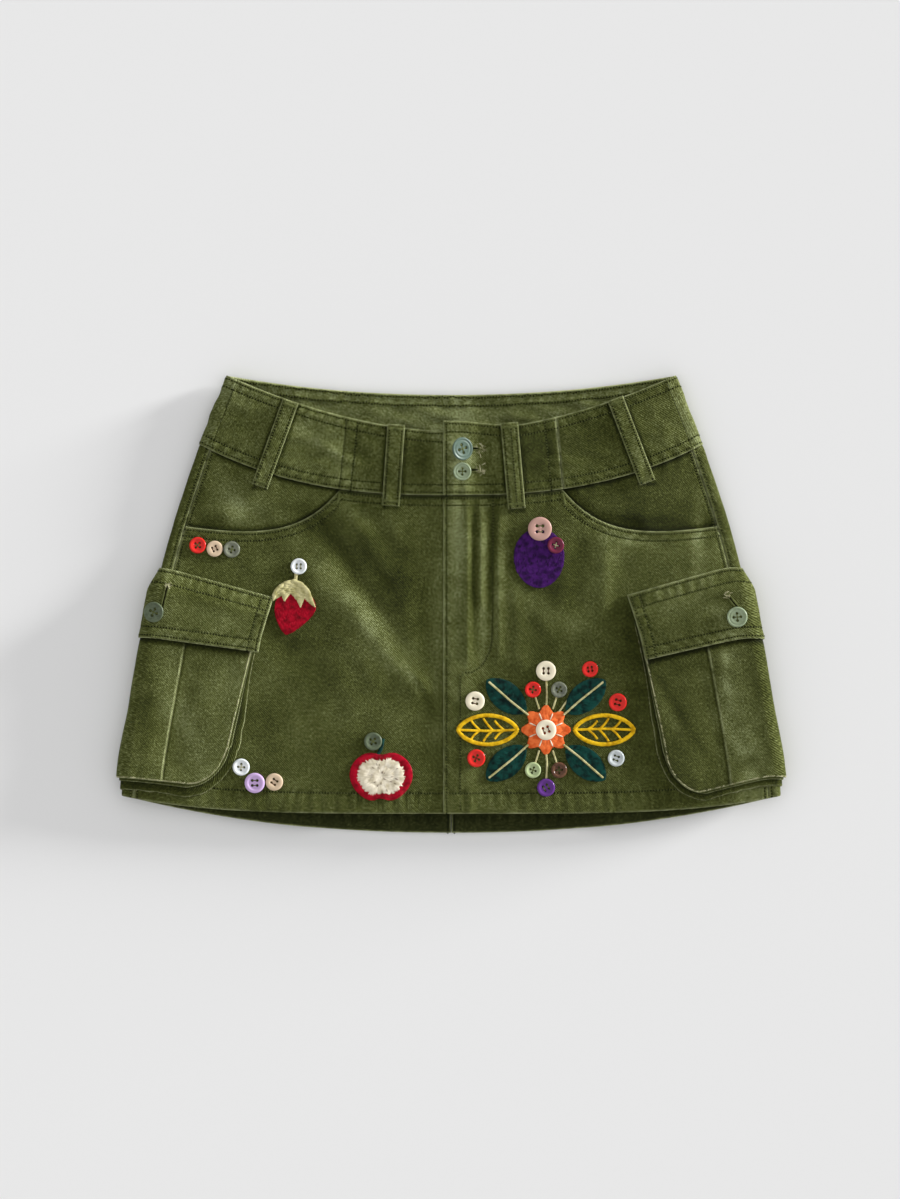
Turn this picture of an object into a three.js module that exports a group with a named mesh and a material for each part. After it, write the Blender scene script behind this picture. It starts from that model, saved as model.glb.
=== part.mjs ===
// An olive cotton-twill cargo mini skirt, buttoned up and laid flat on its back.
// Millimetres. X runs across the skirt, +Y towards the waist and +Z up, away from the surface it lies on.
//
// The empty skirt is a flat tube: the back lies on the surface, both sides fold over, and the front lies on it.
// surfacePoint(u, y, d) gives every point of that tube. u runs round the girth from the centre front, y along
// the skirt, and d is the height above the outer face of one layer of cloth. Every cloth piece is a wall
// between two such faces, so a flap, a pouch or a loop is made from the points of the panel it lies on.

import * as THREE from "three";

const CLOTH = 1.2; // one layer of heavy twill
const SEAM = 0.3; // clearance between neighbouring pieces
const BAND_IN = -1.0; // the doubled waistband stands a little proud on both sides
const BAND_OUT = 1.2;
const FOLD_RADIUS = 3.5; // outer radius where the tube folds over at the sides
const CENTRE_EDGE = -6.2; // where the right front ends, on top of the left front
const UNDERLAP = 9; // how far the left front reaches under the right front
const FLY_WIDE = 46; // the fly's ridges need closer columns out to here
const HEM_CLEAR = { from: 2, to: 12 }; // the left front's hem is single where the right front laps it
const HEM = 16; // depth of the turned-up hem
const HEM_STEP = 0.6;
const PANEL_ROWS = 17; // rows of points down a front panel
const SEAM_FROM_FOLD = 10; // the side seams lie on the front, this far in from the side
const BACK_RAMP = { from: 90, to: 128 }; // where the back rises off the surface to clear the pockets

// Half width and heights along the skirt. seat lifts the back clear of the belt loop under it, pocket lifts
// the sides clear of the cargo pockets, and crown is the height of the front at the middle.
const SECTIONS = [
  { y: 179, half: 175.5, seat: 3, pocket: 0, crown: 14 },
  { y: 125, half: 196.6, seat: 3, pocket: 0, crown: 13.2 },
  { y: 90, half: 208.8, seat: 3, pocket: 0, crown: 12.2 },
  { y: 60, half: 218.4, seat: 0, pocket: 2, crown: 11.5 },
  { y: 27, half: 226.8, seat: 0, pocket: 6, crown: 11.5 },
  { y: 8, half: 231, seat: 0, pocket: 7.6, crown: 11.5 },
  { y: -48, half: 242.2, seat: 0, pocket: 7.4, crown: 11.5 },
  { y: -74, half: 247, seat: 0, pocket: 6.7, crown: 11.6 },
  { y: -102, half: 252, seat: 0, pocket: 6, crown: 11.8 },
  { y: -136, half: 256.8, seat: 0, pocket: 5.8, crown: 12.5 },
  { y: -180, half: 259, seat: 0, pocket: 5.8, crown: 13 },
];

// Where the tube is cut. Each edge dips from the sides towards the middle, by frontDrop and by backDrop.
const EDGES = {
  waist: { side: 179, frontDrop: 44, frontPower: 1.8, backDrop: 15, backPower: 2.1 },
  bandSeam: { side: 124.7, frontDrop: 39.8, frontPower: 2.6, backDrop: 11, backPower: 2.1 },
  hem: { side: -149.5, frontDrop: 14, frontPower: 4, backDrop: 29.7, backPower: 2.2 },
};

// Soft ridges that stand in the front: a Gaussian across the line from (x0, y0) to (x1, y1).
const RIDGES = [
  { x0: 13, y0: 81, x1: 13, y1: -51, width: 5, height: 1.6 },
  { x0: 23.4, y0: 81, x1: 23.4, y1: -8, width: 5, height: 1.8 },
  { x0: 36.3, y0: 75, x1: 36.3, y1: -52, width: 10, height: 1.2 },
  { x0: -112, y0: 34, x1: -16, y1: -75, width: 24, height: 1.8 },
  { x0: -75, y0: 80, x1: -25, y1: 20, width: 18, height: -1.0 },
  { x0: 62, y0: -22, x1: 132, y1: 36, width: 28, height: 1.0 },
];
const RIDGE_FADE = 14;

// The scooped mouth of the hip pockets, from the band seam to the side seam.
const SCOOP = { from: 87, to: 208, low: 55, rise: 34.5, power: 4.3, lift: 6 };
const FACING_OVERLAP = 12;
const FACING_UNDER = -1.5; // outer face of the facing where the front lies on it
const FACING_CLEAR = -0.25;

// Cargo pockets. a is measured round the girth from the pocket's middle line, which lies shift further
// forward than the side fold. Tops and bottoms slope away from that line.
const POCKETS = [
  {
    name: "left", sign: -1, shift: 0, pouchTop: 88, pouchLow: 80.5, bottom: -135.2, tilt: 0.11, corner: 28,
    flapTop: 28.5, topSlope: 0.265, flapLow: -26, lowSlope: 0.136, flapHalfTop: 97.3, flapHalfLow: 92.1,
    bellows: 8.5,
  },
  {
    name: "right", sign: 1, shift: 8, pouchTop: 85, pouchLow: 80.5, bottom: -134.5, tilt: 0.25, corner: 28,
    flapTop: 28.9, topSlope: 0.27, flapLow: -26.6, lowSlope: 0.222, flapHalfTop: 90.5, flapHalfLow: 84.3,
    bellows: 6,
  },
];
const POUCH_IN = 3.2;
const POUCH_OUT = 4.4;
const PLEAT_HALF = 33;
const PLEAT_RISE = 0.9;
const PLEAT_STEP = 0.8;
const POUCH_BELOW_FLAP = 20;
const FLAP_THICK = 1.6;
const FLAP_LOW = 5.65; // inner face of the flap where it lies over the pouch
const FLAP_SLOPE = 18; // length over which the flap climbs onto the pouch
const BELLOWS = { low: 0.3, high: 2.8, thick: 1.0, tuck: 10, nose: 0.6 };

// Belt loops on the front run from (topX, topY) to (lowX, lowY).
const LOOP_WIDTH = 13.8;
const LOOP_IN = 1.5;
const LOOP_OUT = 2.9;
const LOOPS = [
  { name: "loop_left_outer", topX: -125.1, topY: 158.5, lowX: -149.3, lowY: 91.8 },
  { name: "loop_left_inner", topX: -42.8, topY: 140.2, lowX: -47.1, lowY: 76.7 },
  { name: "loop_right_inner", topX: 45.2, topY: 141.7, lowX: 51.2, lowY: 74.6 },
  { name: "loop_right_outer", topX: 127.9, topY: 160.5, lowX: 153.3, lowY: 94.8 },
];
const BACK_LOOP = { top: 164, low: 104 };

const BAND_SEAM_X = { top: 81.5, topY: 147, low: 87.5, lowY: 90 };
const BAND_RAISE = 2.5; // the right band stands this much higher where it laps the left band
const FRONT_RAISE = 1.5;
const RAISE = { from: 12, to: 24 };
const RIGHT_TOP_RISE = 8; // the buttoned-over band end stands higher than the one beneath it
const RIGHT_TOP_FADE = 60;

const PATCH_IN = 0.35;
const PATCH_OUT = 1.25;
const SPRAY = { x: 74, y: -98 };

const COLOURS = {
  twill: 0x4c5129, bandTwill: 0x52572e, facingTwill: 0x555a33, red: 0xd9402e, peach: 0xe2bd9c, grey: 0x5f6b5c,
  pearl: 0xdfe2e4, lilac: 0xc7aad6, magenta: 0x8c2c49, pink: 0xdba797, horn: 0x8b9a88, cream: 0xe9dfc4,
  clear: 0xc9cfd0, leafGreen: 0xa6b584, brown: 0x6e4a34, purple: 0x55297a, crimson: 0xb0142f,
  paleGreen: 0xc6ca90, plum: 0x4a2070, flesh: 0xe6dcbf, orange: 0xe5743a, teal: 0x143c39, yellow: 0xdfb61c,
};

// ---------------------------------------------------------------- the flat tube

const smooth = (from, to, value) => THREE.MathUtils.smoothstep(value, Math.min(from, to), Math.max(from, to));
const fade = (from, to, value) => (from < to ? smooth(from, to, value) : 1 - smooth(to, from, value));
const mix = THREE.MathUtils.lerp;

// Slope of a table column at row i, the harmonic mean of its neighbours' slopes, so no value overshoots.
function tangent(rows, column, i) {
  const slope = (k) => (rows[k + 1][column] - rows[k][column]) / (rows[k + 1].y - rows[k].y);
  if (i === 0) return slope(0);
  if (i === rows.length - 1) return slope(i - 1);
  const before = slope(i - 1);
  const after = slope(i);
  return before * after > 0 ? (2 * before * after) / (before + after) : 0;
}

// A column of the section table at height y, as a smooth cubic through the rows.
function section(column, y) {
  const last = SECTIONS.length - 1;
  if (y >= SECTIONS[0].y) return SECTIONS[0][column];
  if (y <= SECTIONS[last].y) return SECTIONS[last][column];
  const i = SECTIONS.findIndex((row) => row.y < y) - 1;
  const [a, b] = [SECTIONS[i], SECTIONS[i + 1]];
  const span = b.y - a.y;
  const t = (y - a.y) / span;
  const startPull = tangent(SECTIONS, column, i) * span * (t ** 3 - 2 * t ** 2 + t);
  const endPull = tangent(SECTIONS, column, i + 1) * span * (t ** 3 - t ** 2);
  return mix(a[column], b[column], t * t * (3 - 2 * t)) + startPull + endPull;
}

const flatHalf = (y) => section("half", y) - FOLD_RADIUS;
const girth = (y) => 4 * flatHalf(y) + 2 * Math.PI * FOLD_RADIUS;
const foldMiddle = (y) => flatHalf(y) + (Math.PI * FOLD_RADIUS) / 2;
const sideSeam = (y) => section("half", y) - SEAM_FROM_FOLD;

// u brought into one turn, with the centre front at 0 and the centre back at half a girth.
function oneTurn(u, y) {
  const whole = girth(y);
  return u - whole * Math.round(u / whole);
}

// x, and how far round the side fold a point is: 0 on the front, 1 on the back.
function across(u, y) {
  const turned = oneTurn(u, y);
  const sign = Math.sign(turned) || 1;
  const reach = Math.abs(turned);
  const flat = flatHalf(y);
  const arc = Math.PI * FOLD_RADIUS;
  if (reach <= flat) return { x: turned, round: 0, sign };
  if (reach >= flat + arc) return { x: sign * (2 * flat + arc - reach), round: 1, sign };
  const angle = (reach - flat) / FOLD_RADIUS;
  return { x: sign * (flat + FOLD_RADIUS * Math.sin(angle)), round: angle / Math.PI, sign, angle };
}

function ridgeHeight(x, y) {
  let height = 0;
  for (const r of RIDGES) {
    const length = Math.hypot(r.x1 - r.x0, r.y1 - r.y0);
    const along = ((x - r.x0) * (r.x1 - r.x0) + (y - r.y0) * (r.y1 - r.y0)) / length;
    const off = ((x - r.x0) * (r.y1 - r.y0) - (y - r.y0) * (r.x1 - r.x0)) / length;
    const ends = fade(0, RIDGE_FADE, along) * fade(length, length - RIDGE_FADE, along);
    height += r.height * Math.exp(-((off / (r.width / 2)) ** 2)) * ends;
  }
  return height;
}

const backHeight = (x, y) =>
  section("seat", y) + section("pocket", y) * smooth(BACK_RAMP.from, BACK_RAMP.to, Math.abs(x));

function frontHeight(x, y) {
  const side = section("seat", y) + section("pocket", y) + 2 * FOLD_RADIUS;
  const reach = Math.min(1, Math.abs(x) / flatHalf(y));
  const crown = section("crown", y);
  return crown + (side - crown) * reach ** 3 + ridgeHeight(x, y) * (1 - reach ** 6);
}

function surfacePoint(u, y, d) {
  const at = across(u, y);
  if (at.round === 0) return new THREE.Vector3(at.x, y, frontHeight(at.x, y) + d);
  if (at.round === 1) return new THREE.Vector3(at.x, y, backHeight(at.x, y) - d);
  const flat = flatHalf(y);
  const radius = FOLD_RADIUS + d;
  const middle = backHeight(flat, y) + FOLD_RADIUS;
  const x = at.sign * (flat + radius * Math.sin(at.angle));
  return new THREE.Vector3(x, y, middle + radius * Math.cos(at.angle));
}

// Height y of a cut edge at u, on the front, round the fold or on the back.
function edgeY(edge, u, y = edge.side) {
  const { x, round } = across(u, y);
  const share = Math.min(1, Math.abs(x) / section("half", edge.side));
  const front = edge.frontDrop * (1 - share ** edge.frontPower);
  const back = edge.backDrop * (1 - share ** edge.backPower);
  return edge.side - mix(front, back, round);
}

// ---------------------------------------------------------------- walls of cloth

// One closed mesh from two facing point grids, given as rows of equal length. loop joins the last column to
// the first. A hub pair closes the middle of a round patch.
function wall(outer, inner, { loop = false, hubs = null } = {}) {
  const points = [];
  const faces = [];
  const rows = outer.length;
  const columns = outer[0].length;
  const put = (p) => points.push(p) - 1;
  const top = outer.map((row) => row.map(put));
  const under = inner.map((row) => row.map(put));
  const quad = (a, b, c, d) => faces.push([a, b, c], [a, c, d]);
  const lastColumn = loop ? columns : columns - 1;
  for (let i = 0; i < rows - 1; i++) {
    for (let j = 0; j < lastColumn; j++) {
      const k = (j + 1) % columns;
      quad(top[i][j], top[i + 1][j], top[i + 1][k], top[i][k]);
      quad(under[i][j], under[i][k], under[i + 1][k], under[i + 1][j]);
    }
  }
  for (let j = 0; j < lastColumn; j++) {
    const k = (j + 1) % columns;
    if (!hubs) quad(top[0][j], top[0][k], under[0][k], under[0][j]);
    quad(top[rows - 1][k], top[rows - 1][j], under[rows - 1][j], under[rows - 1][k]);
  }
  if (!loop) {
    for (let i = 0; i < rows - 1; i++) {
      quad(top[i + 1][0], top[i][0], under[i][0], under[i + 1][0]);
      quad(top[i][columns - 1], top[i + 1][columns - 1], under[i + 1][columns - 1], under[i][columns - 1]);
    }
  }
  if (hubs) {
    const [topHub, underHub] = hubs.map(put);
    for (let j = 0; j < columns; j++) {
      const k = (j + 1) % columns;
      faces.push([topHub, top[0][j], top[0][k]], [underHub, under[0][k], under[0][j]]);
    }
  }
  return closedGeometry(points, faces);
}

// Points and triangles as a geometry whose faces all point outwards.
function closedGeometry(points, faces) {
  const volume = faces.reduce((sum, [a, b, c]) => {
    const cross = new THREE.Vector3().crossVectors(points[b], points[c]);
    return sum + points[a].dot(cross);
  }, 0);
  const outward = volume > 0 ? faces : faces.map(([a, b, c]) => [a, c, b]);
  const geometry = new THREE.BufferGeometry().setFromPoints(points);
  geometry.setIndex(outward.flat());
  geometry.computeVertexNormals();
  return geometry;
}

const fixed = (value) => () => value;

// Places along a list of knots, where each knot says how many steps lead on to the next.
function stations(knots) {
  const list = [];
  for (let k = 0; k < knots.length - 1; k++) {
    const { at, steps } = knots[k];
    for (let i = 0; i < steps; i++) list.push({ from: at, to: knots[k + 1].at, t: i / steps });
  }
  const last = knots[knots.length - 1].at;
  return [...list, { from: last, to: last, t: 0 }];
}

const valueAt = (station, u, y) => mix(station.from(u, y), station.to(u, y), station.t);
const SETTLING_PASSES = 12; // u depends on y and y on u, so each point is settled by turns

// A cloth piece between side edges (knots across) and end edges (knots down), from d = inner to d = outer.
function clothPiece({ sides, ends, inner, outer, start = 0 }) {
  const columns = stations(sides);
  const lines = stations(ends);
  const settle = (column, line) => {
    let [u, y] = [0, start];
    for (let pass = 0; pass < SETTLING_PASSES; pass++) {
      u = valueAt(column, u, y);
      y = valueAt(line, u, y);
    }
    return [u, y];
  };
  const settled = lines.map((line) => columns.map((column) => settle(column, line)));
  const face = (offset) => settled.map((row) => row.map(([u, y]) => surfacePoint(u, y, offset(u, y))));
  return wall(face(outer), face(inner));
}

const below = (edge, gap) => (u, y) => edgeY(edge, u, y) - gap;
const above = (edge, gap) => (u, y) => edgeY(edge, u, y) + gap;
const CLEAR = SEAM / 2;

// ---------------------------------------------------------------- panels

const scoopY = (x) => {
  const t = THREE.MathUtils.clamp((Math.abs(x) - SCOOP.from) / (SCOOP.to - SCOOP.from), 0, 1);
  return SCOOP.low + SCOOP.rise * (1 - t) ** SCOOP.power + SCOOP.lift * t ** 3;
};

// Top edge of a front panel: the band seam in the middle, the pocket mouth beyond it.
function panelTop(u) {
  const seam = edgeY(EDGES.bandSeam, u) - CLEAR;
  return Math.abs(u) < SCOOP.from ? seam : Math.min(seam, scoopY(u));
}
const raise = (u) => (u < CENTRE_EDGE ? 0 : fade(RAISE.to, RAISE.from, u));
const frontOverlap = (u) => FRONT_RAISE * raise(u);
const bandOverlap = (u) => BAND_RAISE * raise(u);

// 1 inside the turned-up hem, 0 above it
const inHem = (u, y) => fade(HEM, HEM - HEM_STEP, y - edgeY(EDGES.hem, u, y));
const hemEnds = [
  { at: above(EDGES.hem, HEM), steps: 1 },
  { at: above(EDGES.hem, HEM - HEM_STEP), steps: 1 },
  { at: above(EDGES.hem, 0), steps: 0 },
];

function frontRight() {
  const doubled = (u) => fade(RAISE.from, RAISE.to, u);
  return clothPiece({
    sides: [
      { at: fixed(CENTRE_EDGE), steps: 4 },
      { at: fixed(RAISE.from), steps: 13 },
      { at: fixed(FLY_WIDE), steps: 4 },
      { at: fixed(SCOOP.from), steps: 6 },
      { at: (u, y) => sideSeam(y) - CLEAR, steps: 0 },
    ],
    ends: [{ at: panelTop, steps: PANEL_ROWS }, ...hemEnds],
    outer: frontOverlap,
    inner: (u, y) => frontOverlap(u) - CLOTH * (1 + inHem(u, y) * doubled(u)),
  });
}

function frontLeft() {
  const doubled = (u) => fade(CENTRE_EDGE - HEM_CLEAR.from, CENTRE_EDGE - HEM_CLEAR.to, u);
  return clothPiece({
    sides: [
      { at: (u, y) => CLEAR - sideSeam(y), steps: 8 },
      { at: fixed(-SCOOP.from), steps: 8 },
      { at: fixed(CENTRE_EDGE - HEM_CLEAR.to), steps: 1 },
      { at: fixed(CENTRE_EDGE - HEM_CLEAR.from), steps: 3 },
      { at: fixed(UNDERLAP), steps: 0 },
    ],
    ends: [{ at: panelTop, steps: PANEL_ROWS }, ...hemEnds],
    outer: fixed(0),
    inner: (u, y) => -CLOTH * (1 + inHem(u, y) * doubled(u)),
  });
}

function backPanel(sign) {
  const centre = (u, y) => sign * (girth(y) / 2 - CLEAR);
  const backAt = (x) => (u, y) => sign * (girth(y) / 2 - x);
  return clothPiece({
    sides: [
      { at: (u, y) => sign * (sideSeam(y) + CLEAR), steps: 1 },
      { at: (u, y) => sign * flatHalf(y), steps: 6 },
      { at: (u, y) => sign * (girth(y) / 2 - flatHalf(y)), steps: 3 },
      { at: backAt(BACK_RAMP.to), steps: 4 },
      { at: backAt(BACK_RAMP.from), steps: 2 },
      { at: centre, steps: 0 },
    ],
    ends: [
      { at: below(EDGES.bandSeam, CLEAR), steps: 4 },
      { at: fixed(40), steps: 4 },
      { at: fixed(-15), steps: 6 },
      ...hemEnds,
    ],
    outer: fixed(0),
    inner: (u, y) => -CLOTH * (1 + inHem(u, y)),
  });
}

// The facing passes under the front at the pocket mouth and rises to the seams round it.
function facing(sign) {
  const overMouth = (u, y) => (Math.abs(u) < SCOOP.from ? 0 : y - scoopY(u));
  const outer = (u, y) => mix(FACING_UNDER, FACING_CLEAR, smooth(0, FACING_OVERLAP, overMouth(u, y)));
  const low = (u) => scoopY(u) - FACING_OVERLAP;
  return clothPiece({
    sides: [
      { at: fixed(sign * (SCOOP.from - FACING_OVERLAP)), steps: 1 },
      { at: fixed(sign * SCOOP.from), steps: 7 },
      { at: (u, y) => sign * (sideSeam(y) - CLEAR), steps: 0 },
    ],
    ends: [
      { at: below(EDGES.bandSeam, CLEAR), steps: 3 },
      { at: (u) => Math.min(scoopY(u), edgeY(EDGES.bandSeam, u) - 2 * CLEAR), steps: 1 },
      { at: low, steps: 0 },
    ],
    outer,
    inner: (u, y) => outer(u, y) - CLOTH,
    start: 80,
  });
}

// ---------------------------------------------------------------- waistband and belt loops

const bandSeamX = (y) => {
  const t = (y - BAND_SEAM_X.lowY) / (BAND_SEAM_X.topY - BAND_SEAM_X.lowY);
  return mix(BAND_SEAM_X.low, BAND_SEAM_X.top, t);
};

function bandPiece(sides, { top = above(EDGES.waist, 0), over = fixed(0) } = {}) {
  return clothPiece({
    sides,
    ends: [
      { at: top, steps: 3 },
      { at: above(EDGES.bandSeam, CLEAR), steps: 0 },
    ],
    outer: (u) => BAND_OUT + over(u),
    inner: (u) => BAND_IN + over(u),
    start: 130,
  });
}

function bandFrontRight() {
  const lifted = (u) => edgeY(EDGES.waist, u) + RIGHT_TOP_RISE * fade(RIGHT_TOP_FADE, 0, u);
  const sides = [
    { at: fixed(CENTRE_EDGE), steps: 3 },
    { at: fixed(RAISE.from), steps: 4 },
    { at: fixed(RAISE.to), steps: 5 },
    { at: (u, y) => bandSeamX(y) - CLEAR, steps: 0 },
  ];
  return bandPiece(sides, { top: lifted, over: bandOverlap });
}

function bandFrontLeft() {
  return bandPiece([
    { at: (u, y) => CLEAR - bandSeamX(y), steps: 8 },
    { at: fixed(UNDERLAP), steps: 0 },
  ]);
}

function bandSide(sign) {
  return bandPiece([
    { at: (u, y) => sign * (bandSeamX(y) + CLEAR), steps: 8 },
    { at: (u, y) => sign * (sideSeam(y) - CLEAR), steps: 0 },
  ]);
}

function bandBack() {
  return bandPiece([
    { at: (u, y) => sideSeam(y) + CLEAR, steps: 1 },
    { at: (u, y) => flatHalf(y), steps: 6 },
    { at: (u, y) => girth(y) / 2 - flatHalf(y), steps: 16 },
    { at: (u, y) => girth(y) / 2 + flatHalf(y), steps: 6 },
    { at: (u, y) => girth(y) - flatHalf(y), steps: 1 },
    { at: (u, y) => girth(y) - sideSeam(y) - CLEAR, steps: 0 },
  ]);
}

// A strip from top to low whose ends are square to its length. middle(y) is its centre line.
function strip(middle, top, low, lean) {
  const half = LOOP_WIDTH / 2;
  const squareEnd = (at) => (u, y) => at + (u - middle(at)) * -lean;
  return clothPiece({
    sides: [
      { at: (u, y) => middle(y) - half, steps: 2 },
      { at: (u, y) => middle(y) + half, steps: 0 },
    ],
    ends: [
      { at: squareEnd(top), steps: 8 },
      { at: squareEnd(low), steps: 0 },
    ],
    outer: fixed(LOOP_OUT),
    inner: fixed(LOOP_IN),
    start: top,
  });
}

function beltLoop(row) {
  const lean = (row.topX - row.lowX) / (row.topY - row.lowY);
  return strip((y) => row.lowX + lean * (y - row.lowY), row.topY, row.lowY, lean);
}

const backLoop = () => strip((y) => girth(y) / 2, BACK_LOOP.top, BACK_LOOP.low, 0);

// ---------------------------------------------------------------- cargo pockets

// a grows forwards from the pocket's middle line; softened, it makes a slope without a kink at that line.
const SOFT = 8;
const softReach = (a) => Math.hypot(a, SOFT) - SOFT;
const foldReach = (Math.PI * FOLD_RADIUS) / 2; // girth from the middle of a side fold to where it turns flat
const FOLD_LEAD = 3;
const pocketMiddle = (pocket, y) => foldMiddle(y) - pocket.shift;
const reachOf = (pocket, u, y) => pocketMiddle(pocket, y) - pocket.sign * u;
const uAt = (pocket, a, y) => pocket.sign * (pocketMiddle(pocket, y) - a);
const flapTopY = (pocket, a) => pocket.flapTop - pocket.topSlope * softReach(a);
const flapLowY = (pocket, a) => pocket.flapLow - pocket.lowSlope * softReach(a);
const pouchTopY = (pocket, a) => flapTopY(pocket, a) - POUCH_BELOW_FLAP;

// The pouch narrows downwards, and its lower corners are quarter ellipses.
function pouchHalf(pocket, y) {
  const t = (pouchTopY(pocket, pocket.pouchTop) - y) / (pouchTopY(pocket, pocket.pouchTop) - pocket.bottom);
  return mix(pocket.pouchTop, pocket.pouchLow, THREE.MathUtils.clamp(t, 0, 1));
}

function pouchLowY(pocket, a) {
  const into = THREE.MathUtils.clamp((Math.abs(a) - (pocket.pouchLow - pocket.corner)) / pocket.corner, 0, 1);
  const rounding = pocket.corner * (1 - Math.sqrt(1 - into * into));
  return pocket.bottom - pocket.tilt * Math.min(softReach(a), pocket.pouchLow - pocket.corner) + rounding;
}

const onPocket = (pocket, rule) => (u, y) => rule(pocket, reachOf(pocket, u, y), y);

function pouchOuter(pocket) {
  return (u, y) => {
    const a = Math.abs(reachOf(pocket, u, y));
    return POUCH_OUT + PLEAT_RISE * fade(PLEAT_HALF + PLEAT_STEP, PLEAT_HALF, a);
  };
}

function pouch(pocket) {
  const at = (a) => (u, y) => uAt(pocket, a, y);
  const edge = (end) => (u, y) => uAt(pocket, end * pouchHalf(pocket, y), y);
  const cornerStart = pocket.pouchLow - pocket.corner;
  return clothPiece({
    sides: [
      { at: edge(1), steps: 5 },
      { at: at(cornerStart), steps: 1 },
      { at: at(PLEAT_HALF + PLEAT_STEP), steps: 1 },
      { at: at(PLEAT_HALF), steps: 2 },
      { at: at(foldReach - pocket.shift), steps: 8 },
      { at: at(-foldReach - pocket.shift), steps: 2 },
      { at: at(-PLEAT_HALF), steps: 1 },
      { at: at(-PLEAT_HALF - PLEAT_STEP), steps: 1 },
      { at: at(-cornerStart), steps: 5 },
      { at: edge(-1), steps: 0 },
    ],
    ends: [
      { at: onPocket(pocket, pouchTopY), steps: 7 },
      { at: onPocket(pocket, pouchLowY), steps: 0 },
    ],
    outer: pouchOuter(pocket),
    inner: fixed(POUCH_IN),
    start: -60,
  });
}

function flapInner(pocket) {
  return (u, y) => {
    const down = flapTopY(pocket, reachOf(pocket, u, y)) - y;
    return mix(SEAM, FLAP_LOW, smooth(0, FLAP_SLOPE, down));
  };
}

function flap(pocket) {
  const half = (y) => {
    const t = (pocket.flapTop - y) / (pocket.flapTop - pocket.flapLow);
    return mix(pocket.flapHalfTop, pocket.flapHalfLow, THREE.MathUtils.clamp(t, 0, 1));
  };
  const at = (a) => (u, y) => uAt(pocket, a, y);
  const edge = (end) => (u, y) => uAt(pocket, end * half(y), y);
  const inner = flapInner(pocket);
  return clothPiece({
    sides: [
      { at: edge(1), steps: 4 },
      { at: at(foldReach - pocket.shift), steps: 8 },
      { at: at(-foldReach - pocket.shift), steps: 4 },
      { at: edge(-1), steps: 0 },
    ],
    ends: [
      { at: onPocket(pocket, flapTopY), steps: 5 },
      { at: onPocket(pocket, (p, a) => flapTopY(p, a) - FLAP_SLOPE), steps: 2 },
      { at: onPocket(pocket, flapLowY), steps: 0 },
    ],
    outer: (u, y) => inner(u, y) + FLAP_THICK,
    inner,
  });
}

// The bellows strip: a V-shaped fold that follows the pouch down one side, along its foot and up the other.
const bellowsSection = (reach) => [
  [-BELLOWS.tuck, BELLOWS.low],
  [reach - BELLOWS.nose, BELLOWS.low],
  [reach, (BELLOWS.low + BELLOWS.high) / 2],
  [reach - BELLOWS.nose, BELLOWS.high],
  [-BELLOWS.tuck, BELLOWS.high],
  [-BELLOWS.tuck, BELLOWS.high - BELLOWS.thick],
  [reach - BELLOWS.nose - BELLOWS.thick, BELLOWS.high - BELLOWS.thick],
  [reach - BELLOWS.nose - BELLOWS.thick, BELLOWS.low + BELLOWS.thick],
  [-BELLOWS.tuck, BELLOWS.low + BELLOWS.thick],
];

// The pouch's outline as (a, y) points with the direction away from the pouch, from one top end to the other.
function pouchPath(pocket) {
  const sideSteps = 5;
  const cornerSteps = 5;
  const footSteps = 3;
  const foldSteps = 10;
  const foot = pocket.pouchLow - pocket.corner;
  const aroundFold = Array.from({ length: foldSteps + 1 }, (_, i) =>
    -pocket.shift + (foldReach + FOLD_LEAD) * ((2 * i) / foldSteps - 1));
  const footAt = (a) => new THREE.Vector2(a, pouchLowY(pocket, a));
  const cornerAt = (end, angle) => {
    const a = foot + pocket.corner * Math.sin(angle);
    const rise = pocket.corner * (1 - Math.cos(angle));
    return new THREE.Vector2(end * a, pouchLowY(pocket, foot) + rise);
  };
  const sideTop = pouchTopY(pocket, pocket.pouchTop) - 1;
  const sideAt = (end, y) => new THREE.Vector2(end * pouchHalf(pocket, y), y);
  const side = (end) => {
    const cornerTop = cornerAt(end, Math.PI / 2).y;
    return Array.from({ length: sideSteps }, (_, i) => sideAt(end, mix(sideTop, cornerTop, i / sideSteps)));
  };
  const corner = (end) =>
    Array.from({ length: cornerSteps }, (_, i) => cornerAt(end, (Math.PI / 2) * (1 - i / cornerSteps)));
  const feet = (from, to) => Array.from({ length: footSteps }, (_, i) => footAt(mix(from, to, i / footSteps)));
  const points = [
    ...side(-1), ...corner(-1), ...feet(-foot, aroundFold[0]), ...aroundFold.map(footAt),
    ...feet(foot, aroundFold[foldSteps]).reverse(),
    ...corner(1).reverse(), ...side(1).reverse(),
  ];
  const down = new THREE.Vector2(0, -1);
  return points.map((point, i) => {
    if (Math.abs(point.x) <= foot) return { point, out: down };
    const ahead = points[Math.min(i + 1, points.length - 1)];
    const behind = points[Math.max(i - 1, 0)];
    const along = new THREE.Vector2().subVectors(ahead, behind).normalize();
    return { point, out: new THREE.Vector2(along.y, -along.x) };
  });
}

function gusset(pocket) {
  const points = [];
  const faces = [];
  const profile = bellowsSection(pocket.bellows);
  const path = pouchPath(pocket);
  for (const { point, out } of path) {
    for (const [reach, d] of profile) {
      const y = point.y + out.y * reach;
      const a = point.x + out.x * reach;
      points.push(surfacePoint(uAt(pocket, a, y), y, d));
    }
  }
  const count = profile.length;
  for (let i = 0; i < path.length - 1; i++) {
    for (let j = 0; j < count; j++) {
      const [a, b] = [i * count + j, i * count + ((j + 1) % count)];
      faces.push([a, b, b + count], [a, b + count, a + count]);
    }
  }
  const cap = THREE.ShapeUtils.triangulateShape(profile.map(([x, y]) => new THREE.Vector2(x, y)), []);
  const last = (path.length - 1) * count;
  for (const [a, b, c] of cap) faces.push([c, b, a], [last + a, last + b, last + c]);
  return closedGeometry(points, faces);
}

// ---------------------------------------------------------------- embroidered patches

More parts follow.
